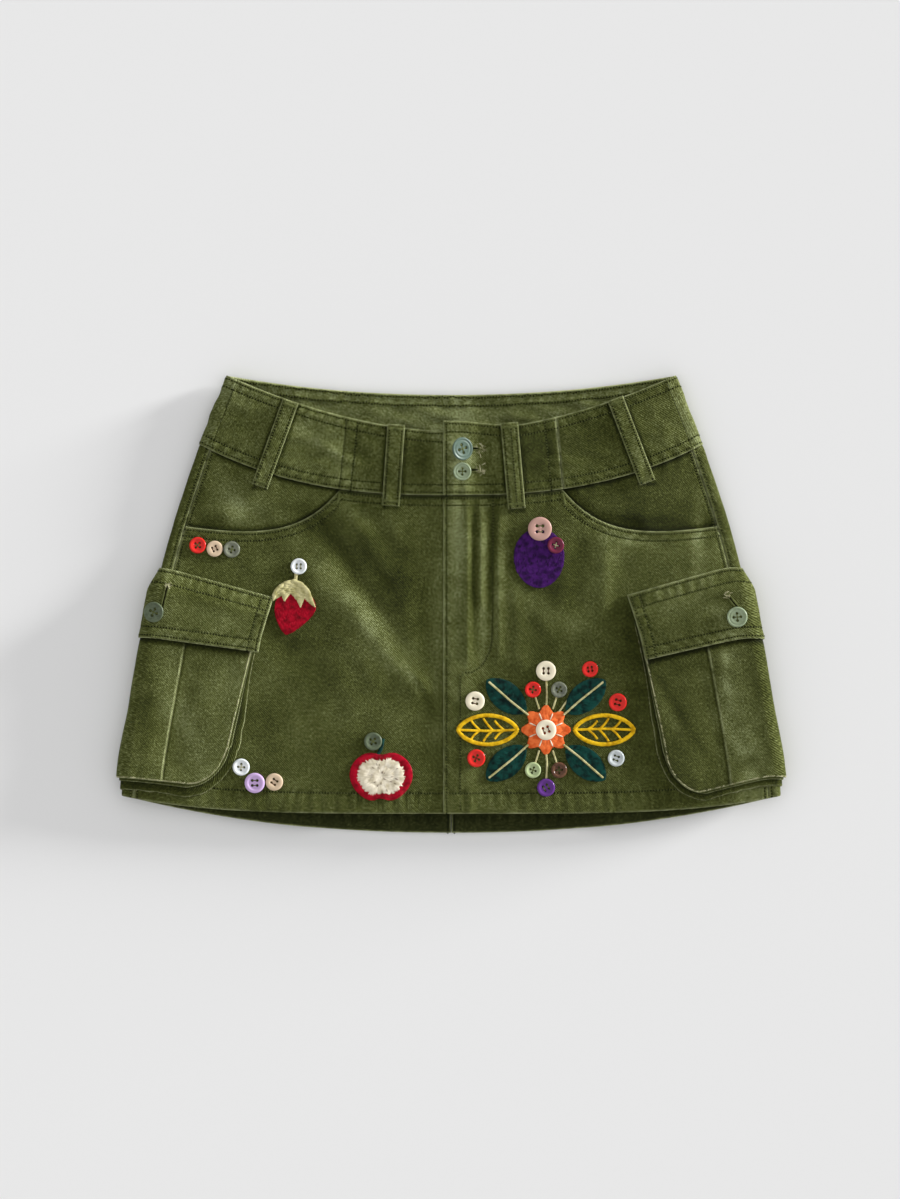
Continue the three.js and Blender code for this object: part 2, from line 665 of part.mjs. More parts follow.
// A patch grows from its centre to outline(angle), or from innerShare of it where the middle is open.
function patch({ x, y, outline, around, rings, innerShare = 0, low = PATCH_IN, high = PATCH_OUT }) {
  const shares = Array.from({ length: rings + (innerShare ? 1 : 0) }, (_, i) =>
    innerShare ? mix(innerShare, 1, i / rings) : (i + 1) / rings);
  const onFront = (u, v, d) => surfacePoint(u, v, d + onPanel(u));
  const ringAt = (share, d) =>
    Array.from({ length: around }, (_, k) => {
      const [dx, dy] = outline((k / around) * 2 * Math.PI);
      return onFront(x + share * dx, y + share * dy, d);
    });
  const hubs = innerShare ? null : [onFront(x, y, high), onFront(x, y, low)];
  const face = (d) => shares.map((share) => ringAt(share, d));
  return wall(face(high), face(low), { loop: true, hubs });
}

const onPanel = (u) => frontOverlap(u);

const STRAWBERRY = { x: -120, y: -3.5, half: 15.5, tall: 20 };
const STRAWBERRY_CAP = { x: -120, y: 14, reach: 8.5, lobe: 2.2, lobes: 5, squash: 0.8 };
const PLUM = { x: 68.6, y: 36, half: 19.5, tall: 23 };
const APPLE = { x: -54.6, y: -134.5, half: 24.5, tall: 20.5, skin: 0.87 };
const BLOSSOM = { reach: 17, petal: 2.4, petals: 8 };
const TEAL_LEAF = { from: 21, to: 60, width: 22 };
const YELLOW_LEAF = { from: 21, to: 70, width: 26, open: 0.76 };
const LEAF_POINT = 0.35; // how much the leaves' sides straighten towards a point

const strawberryOutline = (angle) => {
  const [c, s] = [Math.cos(angle), Math.sin(angle)];
  const taper = 1 - 0.28 * Math.max(0, -s);
  return [STRAWBERRY.half * c * taper, STRAWBERRY.tall * s];
};

const capOutline = (angle) => {
  const { reach, lobe, lobes, squash } = STRAWBERRY_CAP;
  const out = reach + lobe * Math.cos(lobes * (angle - Math.PI / 2));
  return [out * Math.cos(angle), out * squash * Math.sin(angle)];
};

const plumOutline = (angle) => [PLUM.half * Math.cos(angle), PLUM.tall * Math.sin(angle)];

// A halved apple: dimpled at the stalk and at the flower end.
const appleOutline = (angle) => {
  const [c, s] = [Math.cos(angle), Math.sin(angle)];
  const dimple = 1 - 0.16 * Math.exp(-((c / 0.28) ** 2));
  return [APPLE.half * c * (1 + 0.08 * s), APPLE.tall * s * dimple];
};

const blossomOutline = (angle) => {
  const reach = BLOSSOM.reach + BLOSSOM.petal * Math.cos(BLOSSOM.petals * angle);
  return [reach * Math.cos(angle), reach * Math.sin(angle)];
};

function sprayLeaf(leaf, degrees, open) {
  const turn = THREE.MathUtils.degToRad(degrees);
  const [c, s] = [Math.cos(turn), Math.sin(turn)];
  const middle = (leaf.from + leaf.to) / 2;
  const outline = (angle) => {
    const along = ((leaf.to - leaf.from) / 2) * Math.cos(angle);
    const side = (leaf.width / 2) * Math.sin(angle) * Math.abs(Math.sin(angle)) ** LEAF_POINT;
    return [along * c - side * s, along * s + side * c];
  };
  const [x, y] = [SPRAY.x + middle * c, SPRAY.y + middle * s];
  return patch({ x, y, outline, around: open ? 24 : 18, rings: open ? 1 : 2, innerShare: open });
}

// ---------------------------------------------------------------- buttons

// Sew-through shirt buttons: a rounded rim round a shallow dish. Their sizes are their diameters.
const BUTTON_TALL = 2.0;
const BUTTON_RIM = 1.7;
const DISH_DEPTH = 0.7;
const BUTTON_AROUND = 12;
const SAMPLES = 24;

const onBand = (u) => BAND_OUT + bandOverlap(u);
const onPatch = () => PATCH_OUT;
const onFlap = (pocket) => (u, y) => flapInner(pocket)(u, y) + FLAP_THICK;

const BUTTONS = [
  { name: "button_waist_upper", x: 8.3, y: 121, size: 18, colour: "horn", on: onBand, tilt: 28 },
  { name: "button_waist_lower", x: 8.7, y: 103.5, size: 14, colour: "horn", on: onBand },
  { name: "button_flap_left", x: -230.1, y: -6, size: 15.9, colour: "horn", on: onFlap(POCKETS[0]) },
  { name: "button_flap_right", x: 222.3, y: -9.9, size: 15.9, colour: "horn", on: onFlap(POCKETS[1]) },
  { name: "button_side_red", x: -197.8, y: 45.9, size: 13, colour: "red", on: onPanel },
  { name: "button_side_peach", x: -184.5, y: 43.2, size: 12.6, colour: "peach", on: onPanel },
  { name: "button_side_grey", x: -171.2, y: 42.7, size: 12.9, colour: "grey", on: onPanel },
  { name: "button_strawberry", x: -118.9, y: 29.5, size: 12.6, colour: "pearl", on: onPanel },
  { name: "button_apple", x: -60.9, y: -107, size: 14, colour: "grey", on: onPanel },
  { name: "button_hem_white", x: -163.8, y: -127, size: 13.3, colour: "pearl", on: onPanel },
  { name: "button_hem_lilac", x: -153.2, y: -139.4, size: 15.8, colour: "lilac", on: onPanel },
  { name: "button_hem_peach", x: -137.9, y: -138.6, size: 13.6, colour: "peach", on: onPanel },
  { name: "button_plum_pink", x: 69.2, y: 58.8, size: 18.6, colour: "pink", on: onPatch },
  { name: "button_plum_magenta", x: 81.6, y: 46, size: 13, colour: "magenta", on: onPatch },
];

// Buttons strewn round the blossom like berries, by angle and reach from its middle.
const SPRAY_BUTTONS = [
  { name: "middle", degrees: 0, reach: 0, size: 16, colour: "cream" },
  { name: "1", degrees: 21, reach: 60, size: 14, colour: "red" },
  { name: "2", degrees: 54, reach: 58.5, size: 12.5, colour: "red" },
  { name: "3", degrees: 72, reach: 33, size: 12.5, colour: "grey" },
  { name: "4", degrees: 90, reach: 46, size: 15.5, colour: "cream" },
  { name: "5", degrees: 108, reach: 33, size: 12.5, colour: "red" },
  { name: "6", degrees: 158, reach: 60, size: 15, colour: "cream" },
  { name: "7", degrees: 202, reach: 59, size: 14, colour: "red" },
  { name: "8", degrees: 252, reach: 33, size: 12.5, colour: "leafGreen" },
  { name: "9", degrees: 270, reach: 45, size: 14, colour: "purple" },
  { name: "10", degrees: 288, reach: 33, size: 12.5, colour: "brown" },
  { name: "11", degrees: 338, reach: 59, size: 13, colour: "clear" },
];

for (const row of SPRAY_BUTTONS) {
  const turn = THREE.MathUtils.degToRad(row.degrees);
  const [x, y] = [SPRAY.x + row.reach * Math.cos(turn), SPRAY.y + row.reach * Math.sin(turn)];
  const on = row.reach === 0 ? onPatch : onPanel;
  BUTTONS.push({ name: `button_spray_${row.name}`, x, y, size: row.size, colour: row.colour, on });
}

function buttonGeometry(size) {
  const r = size / 2;
  const profile = [
    [0, 0], [r - 0.9, 0], [r, 0.9], [r - 0.5, BUTTON_TALL], [r - BUTTON_RIM, BUTTON_TALL],
    [r - BUTTON_RIM - 0.8, BUTTON_TALL - DISH_DEPTH], [0, BUTTON_TALL - DISH_DEPTH],
  ].map(([x, y]) => new THREE.Vector2(x, y));
  return new THREE.LatheGeometry(profile, BUTTON_AROUND).rotateX(Math.PI / 2);
}

// Lays a button square to the cloth under it, tilted about Y if it hangs so, clear of the highest point below.
function placeButton(mesh, { x, y, size, on, tilt = 0 }) {
  const cloth = (dx, dy) => surfacePoint(x + dx, y + dy, on(x + dx, y + dy));
  const centre = cloth(0, 0);
  const probe = size / 4;
  const alongX = new THREE.Vector3().subVectors(cloth(probe, 0), cloth(-probe, 0));
  const alongY = new THREE.Vector3().subVectors(cloth(0, probe), cloth(0, -probe));
  const normal = new THREE.Vector3().crossVectors(alongX, alongY).normalize();
  const square = new THREE.Quaternion().setFromUnitVectors(new THREE.Vector3(0, 0, 1), normal);
  const aboutY = new THREE.Vector3(0, 1, 0);
  const leaning = new THREE.Quaternion().setFromAxisAngle(aboutY, THREE.MathUtils.degToRad(tilt));
  mesh.quaternion.copy(square).multiply(leaning);
  let lift = 0;
  for (const share of [0.5, 1]) {
    for (let k = 0; k < SAMPLES; k++) {
      const angle = (k / SAMPLES) * 2 * Math.PI;
      const rim = new THREE.Vector3(Math.cos(angle), Math.sin(angle), 0).multiplyScalar((share * size) / 2);
      rim.applyQuaternion(mesh.quaternion);
      const under = cloth(rim.x, rim.y).sub(centre);
      lift = Math.max(lift, under.dot(normal) - rim.dot(normal));
    }
  }
  mesh.position.copy(centre).addScaledVector(normal, lift + SEAM);
}

// ---------------------------------------------------------------- the skirt

const skirt = new THREE.Group();

function add(name, geometry, colour, roughness = 0.92) {
  const material = new THREE.MeshStandardMaterial({ color: COLOURS[colour], roughness, metalness: 0 });
  const mesh = new THREE.Mesh(geometry, material);
  mesh.name = name;
  skirt.add(mesh);
  return mesh;
}

add("front_left", frontLeft(), "twill");
add("front_right", frontRight(), "twill");
add("back_left", backPanel(-1), "twill");
add("back_right", backPanel(1), "twill");
add("facing_left", facing(-1), "facingTwill");
add("facing_right", facing(1), "facingTwill");
add("band_front_left", bandFrontLeft(), "bandTwill");
add("band_front_right", bandFrontRight(), "bandTwill");
add("band_side_left", bandSide(-1), "bandTwill");
add("band_side_right", bandSide(1), "bandTwill");
add("band_back", bandBack(), "bandTwill");
for (const row of LOOPS) add(row.name, beltLoop(row), "bandTwill");
add("loop_back", backLoop(), "bandTwill");
for (const pocket of POCKETS) {
  add(`gusset_${pocket.name}`, gusset(pocket), "twill");
  add(`pouch_${pocket.name}`, pouch(pocket), "twill");
  add(`flap_${pocket.name}`, flap(pocket), "twill");
}

const CAP_LAYER = { low: PATCH_OUT + PATCH_IN, high: 2 * PATCH_OUT };
add("strawberry_fruit", patch({ ...STRAWBERRY, outline: strawberryOutline, around: 20, rings: 2 }), "crimson");
const strawberryCap = { ...STRAWBERRY_CAP, ...CAP_LAYER, outline: capOutline, around: 20, rings: 1 };
add("strawberry_leaf", patch(strawberryCap), "paleGreen");
add("plum", patch({ ...PLUM, outline: plumOutline, around: 24, rings: 3 }), "plum");
const appleSkin = { ...APPLE, outline: appleOutline, around: 28, rings: 1, innerShare: APPLE.skin };
add("apple_skin", patch(appleSkin), "crimson");
const fleshOutline = (angle) => appleOutline(angle).map((v) => v * (APPLE.skin - 0.02));
add("apple_flesh", patch({ ...APPLE, outline: fleshOutline, around: 28, rings: 2 }), "flesh");
add("blossom", patch({ ...SPRAY, outline: blossomOutline, around: 32, rings: 2 }), "orange");
[40, 140, 220, 320].forEach((degrees, i) =>
  add(`leaf_teal_${i + 1}`, sprayLeaf(TEAL_LEAF, degrees, 0), "teal"));
[0, 180].forEach((degrees, i) =>
  add(`leaf_yellow_${i + 1}`, sprayLeaf(YELLOW_LEAF, degrees, YELLOW_LEAF.open), "yellow"));

for (const row of BUTTONS) placeButton(add(row.name, buttonGeometry(row.size), row.colour, 0.3), row);

// The origin is the middle of the skirt's outline, on the surface it lies on.
skirt.updateMatrixWorld(true);
const box = new THREE.Box3().setFromObject(skirt, true);
skirt.position.set(-(box.min.x + box.max.x) / 2, -(box.min.y + box.max.y) / 2, -box.min.z);
skirt.updateMatrixWorld(true);

export default skirt;
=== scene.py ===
# %% [markdown]
# # An olive cargo mini skirt, laid flat
# The skirt is cut from heavy cotton twill, dyed olive and washed until its edges turned pale. It lies on
# its back: the front lies on the back, both sides fold over, and everything else (band, loops, pockets,
# patches, buttons) lies on those two layers. So one function, which gives any point of that flat tube, can
# place every piece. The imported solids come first. They fix all sizes, and each cloth piece below takes the
# place of one of them.

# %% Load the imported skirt
import math
from types import SimpleNamespace

import bmesh
import bpy
import numpy as np
from mathutils import Matrix, Vector, noise
from mathutils.kdtree import KDTree


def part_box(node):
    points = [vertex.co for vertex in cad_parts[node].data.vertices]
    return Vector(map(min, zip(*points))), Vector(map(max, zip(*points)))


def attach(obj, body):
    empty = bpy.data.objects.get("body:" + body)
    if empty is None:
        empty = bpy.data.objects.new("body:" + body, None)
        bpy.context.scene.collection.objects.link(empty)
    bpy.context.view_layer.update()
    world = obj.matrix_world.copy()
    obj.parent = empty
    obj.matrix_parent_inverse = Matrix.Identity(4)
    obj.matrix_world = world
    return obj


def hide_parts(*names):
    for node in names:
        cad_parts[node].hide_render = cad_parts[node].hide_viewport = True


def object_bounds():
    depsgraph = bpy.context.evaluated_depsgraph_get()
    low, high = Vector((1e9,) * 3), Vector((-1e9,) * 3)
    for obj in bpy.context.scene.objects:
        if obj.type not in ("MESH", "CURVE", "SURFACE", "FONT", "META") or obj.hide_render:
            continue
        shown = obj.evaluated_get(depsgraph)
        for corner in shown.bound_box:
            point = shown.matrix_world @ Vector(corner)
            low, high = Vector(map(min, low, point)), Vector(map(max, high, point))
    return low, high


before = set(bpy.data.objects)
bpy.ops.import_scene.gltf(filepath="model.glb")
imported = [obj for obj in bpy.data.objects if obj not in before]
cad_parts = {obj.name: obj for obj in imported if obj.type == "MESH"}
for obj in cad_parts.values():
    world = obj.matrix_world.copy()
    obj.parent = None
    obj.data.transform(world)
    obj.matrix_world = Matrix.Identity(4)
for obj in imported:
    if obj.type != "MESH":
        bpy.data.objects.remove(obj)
cad_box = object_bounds()
MM = 0.001
rng = np.random.default_rng(11)
size_mm = [round(side / MM, 1) for side in cad_box[1] - cad_box[0]]
print("packed skirt:", len(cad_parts), "solids,", size_mm, "mm")

# %% [markdown]
# The camera hangs straight above the skirt, as for a catalogue picture of folded clothes. A long lens from
# over two metres keeps the waistband and the hem at one scale, where a short one close by would swell the
# middle.

# %% Hang the camera over the skirt
CAMERA_HEIGHT = 2.4
SENSOR = 36.0  # millimetres along the picture's long side
PICTURE_TALL = 0.935  # metres of floor along that side
PICTURE_SHIFT = Vector((-0.0009, 0.0038, 0))  # the picture's middle from the skirt's middle


def in_scene(name, data):
    thing = bpy.data.objects.new(name, data)
    bpy.context.scene.collection.objects.link(thing)
    return thing


camera_data = bpy.data.cameras.new("camera")
camera_data.sensor_width = SENSOR
camera_data.lens = SENSOR * CAMERA_HEIGHT / PICTURE_TALL
camera = in_scene("camera", camera_data)
camera.location = (cad_box[0] + cad_box[1]) / 2 + PICTURE_SHIFT + Vector((0, 0, CAMERA_HEIGHT))
bpy.context.scene.camera = camera
print("camera", [round(c, 4) for c in camera.location], "lens", round(camera_data.lens, 1))

# %% [markdown]
# ## The flat tube
# An empty skirt laid flat is a tube pressed together. A point on it needs three numbers: u, the way round
# the girth from the centre front; y, the way up towards the waist; and d, how far it stands off the
# cloth's outer face. The sizes below are those of the solids, in millimetres, so what is made here lies
# where they lie.

# %% Sizes of the tube, in millimetres
CLOTH = 1.2  # one layer of heavy twill
CLEAR = 0.15  # half the gap between neighbouring pieces
FOLD_RADIUS = 3.5  # of the cloth's outer face where it turns round a side
FOLD_LONG = math.pi * FOLD_RADIUS
CENTRE_EDGE = -6.2  # where the right front ends on top of the left one
UNDERLAP = 9  # how far the left front runs on beneath it, past the centre
HEM = 16
SEAM_FROM_FOLD = 10  # the side seams lie this far inside the folds, on the front
BACK_RAMP = (90, 128)  # from the middle outwards, where the back rises over the pouches' back halves
SECTIONS = np.array(
    [  # y, half the flat width, then heights: the back's, what a pouch adds, and the front's in the middle
        (-180, 259, 0, 5.8, 13),
        (-136, 256.8, 0, 5.8, 12.5),
        (-102, 252, 0, 6, 11.8),
        (-74, 247, 0, 6.7, 11.6),
        (-48, 242.2, 0, 7.4, 11.5),
        (8, 231, 0, 7.6, 11.5),
        (27, 226.8, 0, 6, 11.5),
        (60, 218.4, 0, 2, 11.5),
        (90, 208.8, 3, 0, 12.2),
        (125, 196.6, 3, 0, 13.2),
        (179, 175.5, 3, 0, 14),
    ],
    dtype=[(name, float) for name in ("y", "half", "seat", "pocket", "crown")],
)
# cut edges: y at the sides, how far they dip in the middle of the front and of the back, and how sharply
WAIST = SimpleNamespace(side=179, front_drop=44, front_power=1.8, back_drop=15, back_power=2.1)
BAND_SEAM = SimpleNamespace(side=124.7, front_drop=39.8, front_power=2.6, back_drop=11, back_power=2.1)
HEM_EDGE = SimpleNamespace(side=-149.5, front_drop=14, front_power=4, back_drop=29.7, back_power=2.2)
ORIGIN = np.array(
    [
        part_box("front_right")[0].x / MM - CENTRE_EDGE,
        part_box("band_back")[1].y / MM - WAIST.side,
        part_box("back_left")[0].z / MM,
    ]
)
print("the tables' origin in the packed frame, mm:", ORIGIN.round(3))

# %% [markdown]
# A table of sections gives the half width and the heights at eleven places along the skirt. Straight lines
# between its rows would kink the side seams, so each column runs as a cubic whose slope at a row is the
# harmonic mean of the slopes beside it, which never overshoots.

# %% A column of the section table at any height


def smooth(start, end, value):
    """0 before start, 1 after end, and a soft step between, whichever of them is larger."""
    t = np.clip((value - start) / (end - start), 0, 1)
    return t * t * (3 - 2 * t)


def mix(a, b, t):
    return a + (b - a) * t


def bell(off, wide):
    """1 where off is 0, falling away softly on both sides."""
    return np.exp(-((off / wide) ** 2))


def row_slopes(column):
    steps = np.diff(SECTIONS[column]) / np.diff(SECTIONS["y"])
    before, after = steps[:-1], steps[1:]
    same_way = before * after > 0
    inner = np.where(same_way, 2 * before * after / np.where(same_way, before + after, 1), 0)
    return np.concatenate([steps[:1], inner, steps[-1:]])


SLOPES = {column: row_slopes(column) for column in SECTIONS.dtype.names[1:]}


def section(column, y):
    rows, values, slopes = SECTIONS["y"], SECTIONS[column], SLOPES[column]
    y = np.clip(y, rows[0], rows[-1])
    i = np.clip(np.searchsorted(rows, y) - 1, 0, len(rows) - 2)
    span = rows[i + 1] - rows[i]
    t = (y - rows[i]) / span
    bend = slopes[i] * (t**3 - 2 * t**2 + t) + slopes[i + 1] * (t**3 - t**2)
    return mix(values[i], values[i + 1], t * t * (3 - 2 * t)) + span * bend


def flat_half(y):
    return section("half", y) - FOLD_RADIUS


def girth(y):
    return 4 * flat_half(y) + 2 * FOLD_LONG


def side_seam(y):
    return section("half", y) - SEAM_FROM_FOLD


print("girth by height, mm:", {edge.side: round(float(girth(edge.side))) for edge in (WAIST, HEM_EDGE)})

# %% [markdown]
# Cloth that has been worn never lies quite flat. Long soft ridges stand where the fly's layers buckle,
# short ones run out of the crotch, and the sewn edges pucker, because thread shrinks more than cloth does.
# A cloth simulation would crease the panels at random, so the main creases are listed one by one, each one a
# line with a width and a height, and noise adds the slight unevenness of cloth that was smoothed down with
# the hand.

# %% Creases, puckers and the slight waves of handled cloth
RIDGES = [  # x and y of both ends, width, height: these six stand in the solids too
    (13, 81, 13, -51, 5, 1.6),
    (23.4, 81, 23.4, -8, 5, 1.8),
    (36.3, 75, 36.3, -52, 10, 1.2),
    (-112, 34, -16, -75, 24, 1.8),
    (-75, 80, -25, 20, 18, -1.0),
    (62, -22, 132, 36, 28, 1.0),
]
CREASES = [  # finer ones on the front, drawn as the cloth lies round the fly, the pockets and the hem
    (17, 84, 17.4, -44, 4.2, -1.0),
    (32.6, 84, 32.4, -48, 5, -0.9),
    (-24, 78, -20, -130, 22, -0.6),
    (-110, 74, -30, -48, 13, -1.1),
    (-122, 30, -52, -72, 18, 1.0),
    (-84, 84, -40, 10, 12, 0.9),
    (-92, 78, -120, 60, 10, 0.8),
    (-48, 70, -28, -40, 16, 0.8),
    (-34, -46, -14, -72, 6, 1.1),
    (-100, -30, -70, -96, 24, 0.7),
    (-150, -20, -90, -60, 20, -0.7),
    (48, 20, 56, -60, 14, 1.0),
    (100, 60, 96, -10, 14, -0.9),
    (122, 56, 118, -20, 14, 0.9),
    (120, -10, 150, -110, 22, 0.9),
    (140, 70, 186, 44, 12, 0.9),
    (-140, 66, -196, 88, 14, -0.9),
    (-150, 86, -186, 60, 12, 0.9),
    (-206, 100, -190, 150, 16, 0.8),
    (-110, 128, -66, 104, 9, 0.7),
    (-104, 118, -60, 96, 9, -0.7),
    (70, 124, 104, 104, 9, 0.7),
    (160, 140, 190, 104, 14, 0.8),
]
BACK_CREASES = [  # the hidden side: hollows only, because the ridges between them rest on the floor
    (-30, 60, -96, -40, 26, -1.2),
    (34, 70, 84, -30, 24, -1.1),
    (-6, -20, -46, -130, 30, -1.0),
    (20, -40, 92, -120, 26, -0.9),
    (-70, 110, -20, 60, 20, -0.8),
    (80, 104, 30, 66, 18, -0.8),
]
CREASE_FADE = 14  # length over which a crease runs out at its ends
PUCKER_PITCH, PUCKER_HIGH, PUCKER_REACH = 11.0, 0.32, 11.0  # along the hem's and the band's stitches
PUCKER_DRIFT = 3.0  # how far noise shifts them out of step, in radians
WAVES = ((46.0, 0.62), (19.0, 0.30), (9.0, 0.10))  # size across and height


def along_lines(table, x, y):
    height = np.zeros(np.broadcast(x, y).shape)
    for x0, y0, x1, y1, wide, high in table:
        length = math.hypot(x1 - x0, y1 - y0)
        along = ((x - x0) * (x1 - x0) + (y - y0) * (y1 - y0)) / length
        off = ((x - x0) * (y1 - y0) - (y - y0) * (x1 - x0)) / length
        ends = smooth(0, CREASE_FADE, along) * smooth(length, length - CREASE_FADE, along)
        height = height + high * bell(off, wide / 2) * ends
    return height


def uneven(x, y, size, layer=0.0):
    """Smooth noise from -1 to 1 whose bumps are about size mm across."""
    x, y = np.broadcast_arrays(x, y)
    places = zip(x.ravel() / size, y.ravel() / size)
    return np.array([noise.noise((a, b, layer)) for a, b in places]).reshape(x.shape)


def edge_y(edge, u, y=None):
    """Height y of a cut edge at u: it dips from the sides to the middle of the front and of the back."""
    x, round_fold, _, _ = across(u, edge.side if y is None else y)
    share = np.minimum(1, np.abs(x) / section("half", edge.side))
    front = edge.front_drop * (1 - share**edge.front_power)
    back = edge.back_drop * (1 - share**edge.back_power)
    return edge.side - mix(front, back, round_fold)


def across(u, y):
    """x at u, how far round the side fold that is (0 front, 1 back), its side, and its angle on the fold."""
    whole, flat = girth(y), flat_half(y)
    turned = u - whole * np.round(u / whole)
    side = np.where(turned < 0, -1.0, 1.0)
    reach = np.abs(turned)
    angle = np.clip((reach - flat) / FOLD_RADIUS, 0, math.pi)
    on_back = side * (2 * flat + FOLD_LONG - reach)
    on_fold = side * (flat + FOLD_RADIUS * np.sin(angle))
    x = np.where(angle <= 0, turned, np.where(angle >= math.pi, on_back, on_fold))
    return x, angle / math.pi, side, angle


def relief(x, y, round_fold):
    """Height of the waves and puckers, which stand up on the front and only sink in on the back."""
    waves = sum(high * uneven(x, y, size, size) for size, high in WAVES)
    u = np.where(round_fold > 0.5, girth(y) / 2 - x, x)
    from_hem, from_band = y - edge_y(HEM_EDGE, u, y), edge_y(BAND_SEAM, u, y) - y
    near = bell(np.minimum(np.abs(from_hem - HEM / 2), np.abs(from_band)), PUCKER_REACH)
    phase = 2 * math.pi * x / PUCKER_PITCH + PUCKER_DRIFT * uneven(x, y, 37, 5)
    height = waves + PUCKER_HIGH * np.sin(phase) * near
    return mix(height, -np.abs(height), smooth(0.2, 0.8, round_fold))


def back_height(x, y):
    lifted = section("pocket", y) * smooth(*BACK_RAMP, np.abs(x))
    return section("seat", y) + lifted - np.minimum(0, along_lines(BACK_CREASES, x, y))


def front_height(x, y):
    """Height of the front's outer face: a low crown with the creases standing on it."""
    side = section("seat", y) + section("pocket", y) + 2 * FOLD_RADIUS
    reach = np.minimum(1, np.abs(x) / flat_half(y))
    crown = section("crown", y)
    standing = along_lines(RIDGES, x, y) + along_lines(CREASES, x, y)
    return crown + (side - crown) * reach**3 + standing * (1 - reach**6)


def surface(u, y, d):
    """Points of the tube, in mm: u round the girth, y along the skirt, d off the cloth's outer face."""
    u, y, d = np.broadcast_arrays(np.asarray(u, float), np.asarray(y, float), np.asarray(d, float))
    x, round_fold, side, angle = across(u, y)
    out = d + relief(x, y, round_fold)
    radius = FOLD_RADIUS + out
    flat = flat_half(y)
    on_fold = (angle > 0) & (angle < math.pi)
    z = np.where(angle <= 0, front_height(x, y) + out, back_height(x, y) - out)
    z = np.where(on_fold, back_height(flat, y) + FOLD_RADIUS + radius * np.cos(angle), z)
    x = np.where(on_fold, side * (flat + radius * np.sin(angle)), x)
    return np.stack([x, y, z], axis=-1)


print("centre front at half height, mm:", surface(0, 0, 0).round(2))

# %% [markdown]
# ## Cloth from a grid
# Every cloth piece is one grid, stretched between two side edges and two end edges that may curve, and
# laid on the tube. A grid fits woven cloth: its lines run like the yarns, so creases, folded edges and
# rows of stitches follow them. Close to a folded edge two extra lines let the cloth round over, and each
# row of stitches gets three, because the thread pulls a small groove. Solidify then gives the sheet its
# thickness.

# %% The lines of a grid
ROLL_LINES = (0.8, 1.8)  # distances of the extra lines from a folded edge
ROLL_WIDE, ROLL_DROP = 2.0, 0.55
GROOVE_HALF, GROOVE_DEEP = 0.9, 0.3
LINE_FROM_EDGE, LINES_APART = 0.3, 0.34  # extra lines closer than this are left out
STEEPEST = 1.7  # how much further apart a slanting edge may push its lines
SETTLING = 9  # u depends on y and y on u, so each point is settled by turns


def as_line(edge):
    return edge if callable(edge) else lambda u, y: np.full_like(u, float(edge))


def inset(edge, amount, down):
    """The line that keeps amount away from an edge, measured square to it. down: the edge is an end."""

    def line(u, y):
        step = (1, 0) if down else (0, 1)
        rise = (edge(u + step[0], y + step[1]) - edge(u - step[0], y - step[1])) / 2
        return edge(u, y) + amount * np.minimum(np.hypot(1, rise), STEEPEST)

    return line


def near_edge(rows_of_stitches):
    """Distances of the extra lines along an edge, with those of the stitches first and kept exact."""
    banks = [row + off for row in rows_of_stitches for off in (-GROOVE_HALF, GROOVE_HALF)]
    kept = []
    for wanted in (*rows_of_stitches, *ROLL_LINES, *banks):
        if wanted > LINE_FROM_EDGE and all(abs(wanted - k) > LINES_APART for k in kept):
            kept.append(wanted)
    return sorted(kept)


def grid_lines(knots, first, last, spacing, down, here):
    """The grid's lines along one direction, and which of them each row of stitches is.

    The lines between two knots are counted by how far apart those are at the places u and y in here.
    """
    knots = [as_line(k) for k in knots]
    way = -1 if down else 1
    starts, ends = near_edge(first), near_edge(last)[::-1]
    fixed = [knots[0], *(inset(knots[0], way * s, down) for s in starts)]
    fixed += [*knots[1:-1], *(inset(knots[-1], -way * s, down) for s in ends), knots[-1]]
    lines = []
    for i, (a, b) in enumerate(zip(fixed, fixed[1:])):
        inside = len(starts) <= i < len(fixed) - 1 - len(ends)
        apart = float(np.abs(b(*here) - a(*here)).max())
        steps = max(1, math.ceil(apart / spacing)) if inside else 1
        lines += [(lambda u, y, a=a, b=b, t=k / steps: mix(a(u, y), b(u, y), t)) for k in range(steps)]
    lines.append(fixed[-1])
    from_last = ends[::-1]
    sewn_first = {row: 1 + starts.index(row) for row in first}
    return lines, (sewn_first, {row: len(lines) - 2 - from_last.index(row) for row in last})


print("extra lines beside an edge with two rows of stitches:", near_edge((2.2, 8.5)))

# %% [markdown]
# ## Finishes
# The cloth is heavy cotton twill, dyed, sewn and then garment-washed. Up close its weft passes over two yarns
# and under one, a step further along in each row, which draws the slanting lines called wales. The wash rubs
# dye off whatever stands proud, so edges go pale; the hollows, grooves and places under other parts are
# painted dark as shade. The finish reads three things: the pattern in the sheet's own coordinates, and the
# wear and tone stored with its points, tone carrying painted light and shade as well as dye.

# %% Colours and nodes


def linear(hex_colour):
    """An sRGB hex colour as the linear values that a shader works with."""
    channels = [int(hex_colour[i : i + 2], 16) / 255 for i in (0, 2, 4)]
    return [c / 12.92 if c <= 0.04045 else ((c + 0.055) / 1.055) ** 2.4 for c in channels] + [1.0]


def add(material, kind, links=(), **settings):
    """Adds a shader node. settings are its properties; links pairs an input with a value or an output."""
    node = material.node_tree.nodes.new("ShaderNode" + kind)
    for name, value in settings.items():
        setattr(node, name, value)
    for socket, source in dict(links).items():
        if isinstance(source, bpy.types.NodeSocket):
            material.node_tree.links.new(source, node.inputs[socket])
        else:
            node.inputs[socket].default_value = source
    return node


def new_material(name, **sockets):
    material = bpy.data.materials.new(name)
    material.use_nodes = True
    shader = material.node_tree.nodes["Principled BSDF"]
    for socket, value in sockets.items():
        shader.inputs[socket.replace("_", " ")].default_value = value
    return material, shader


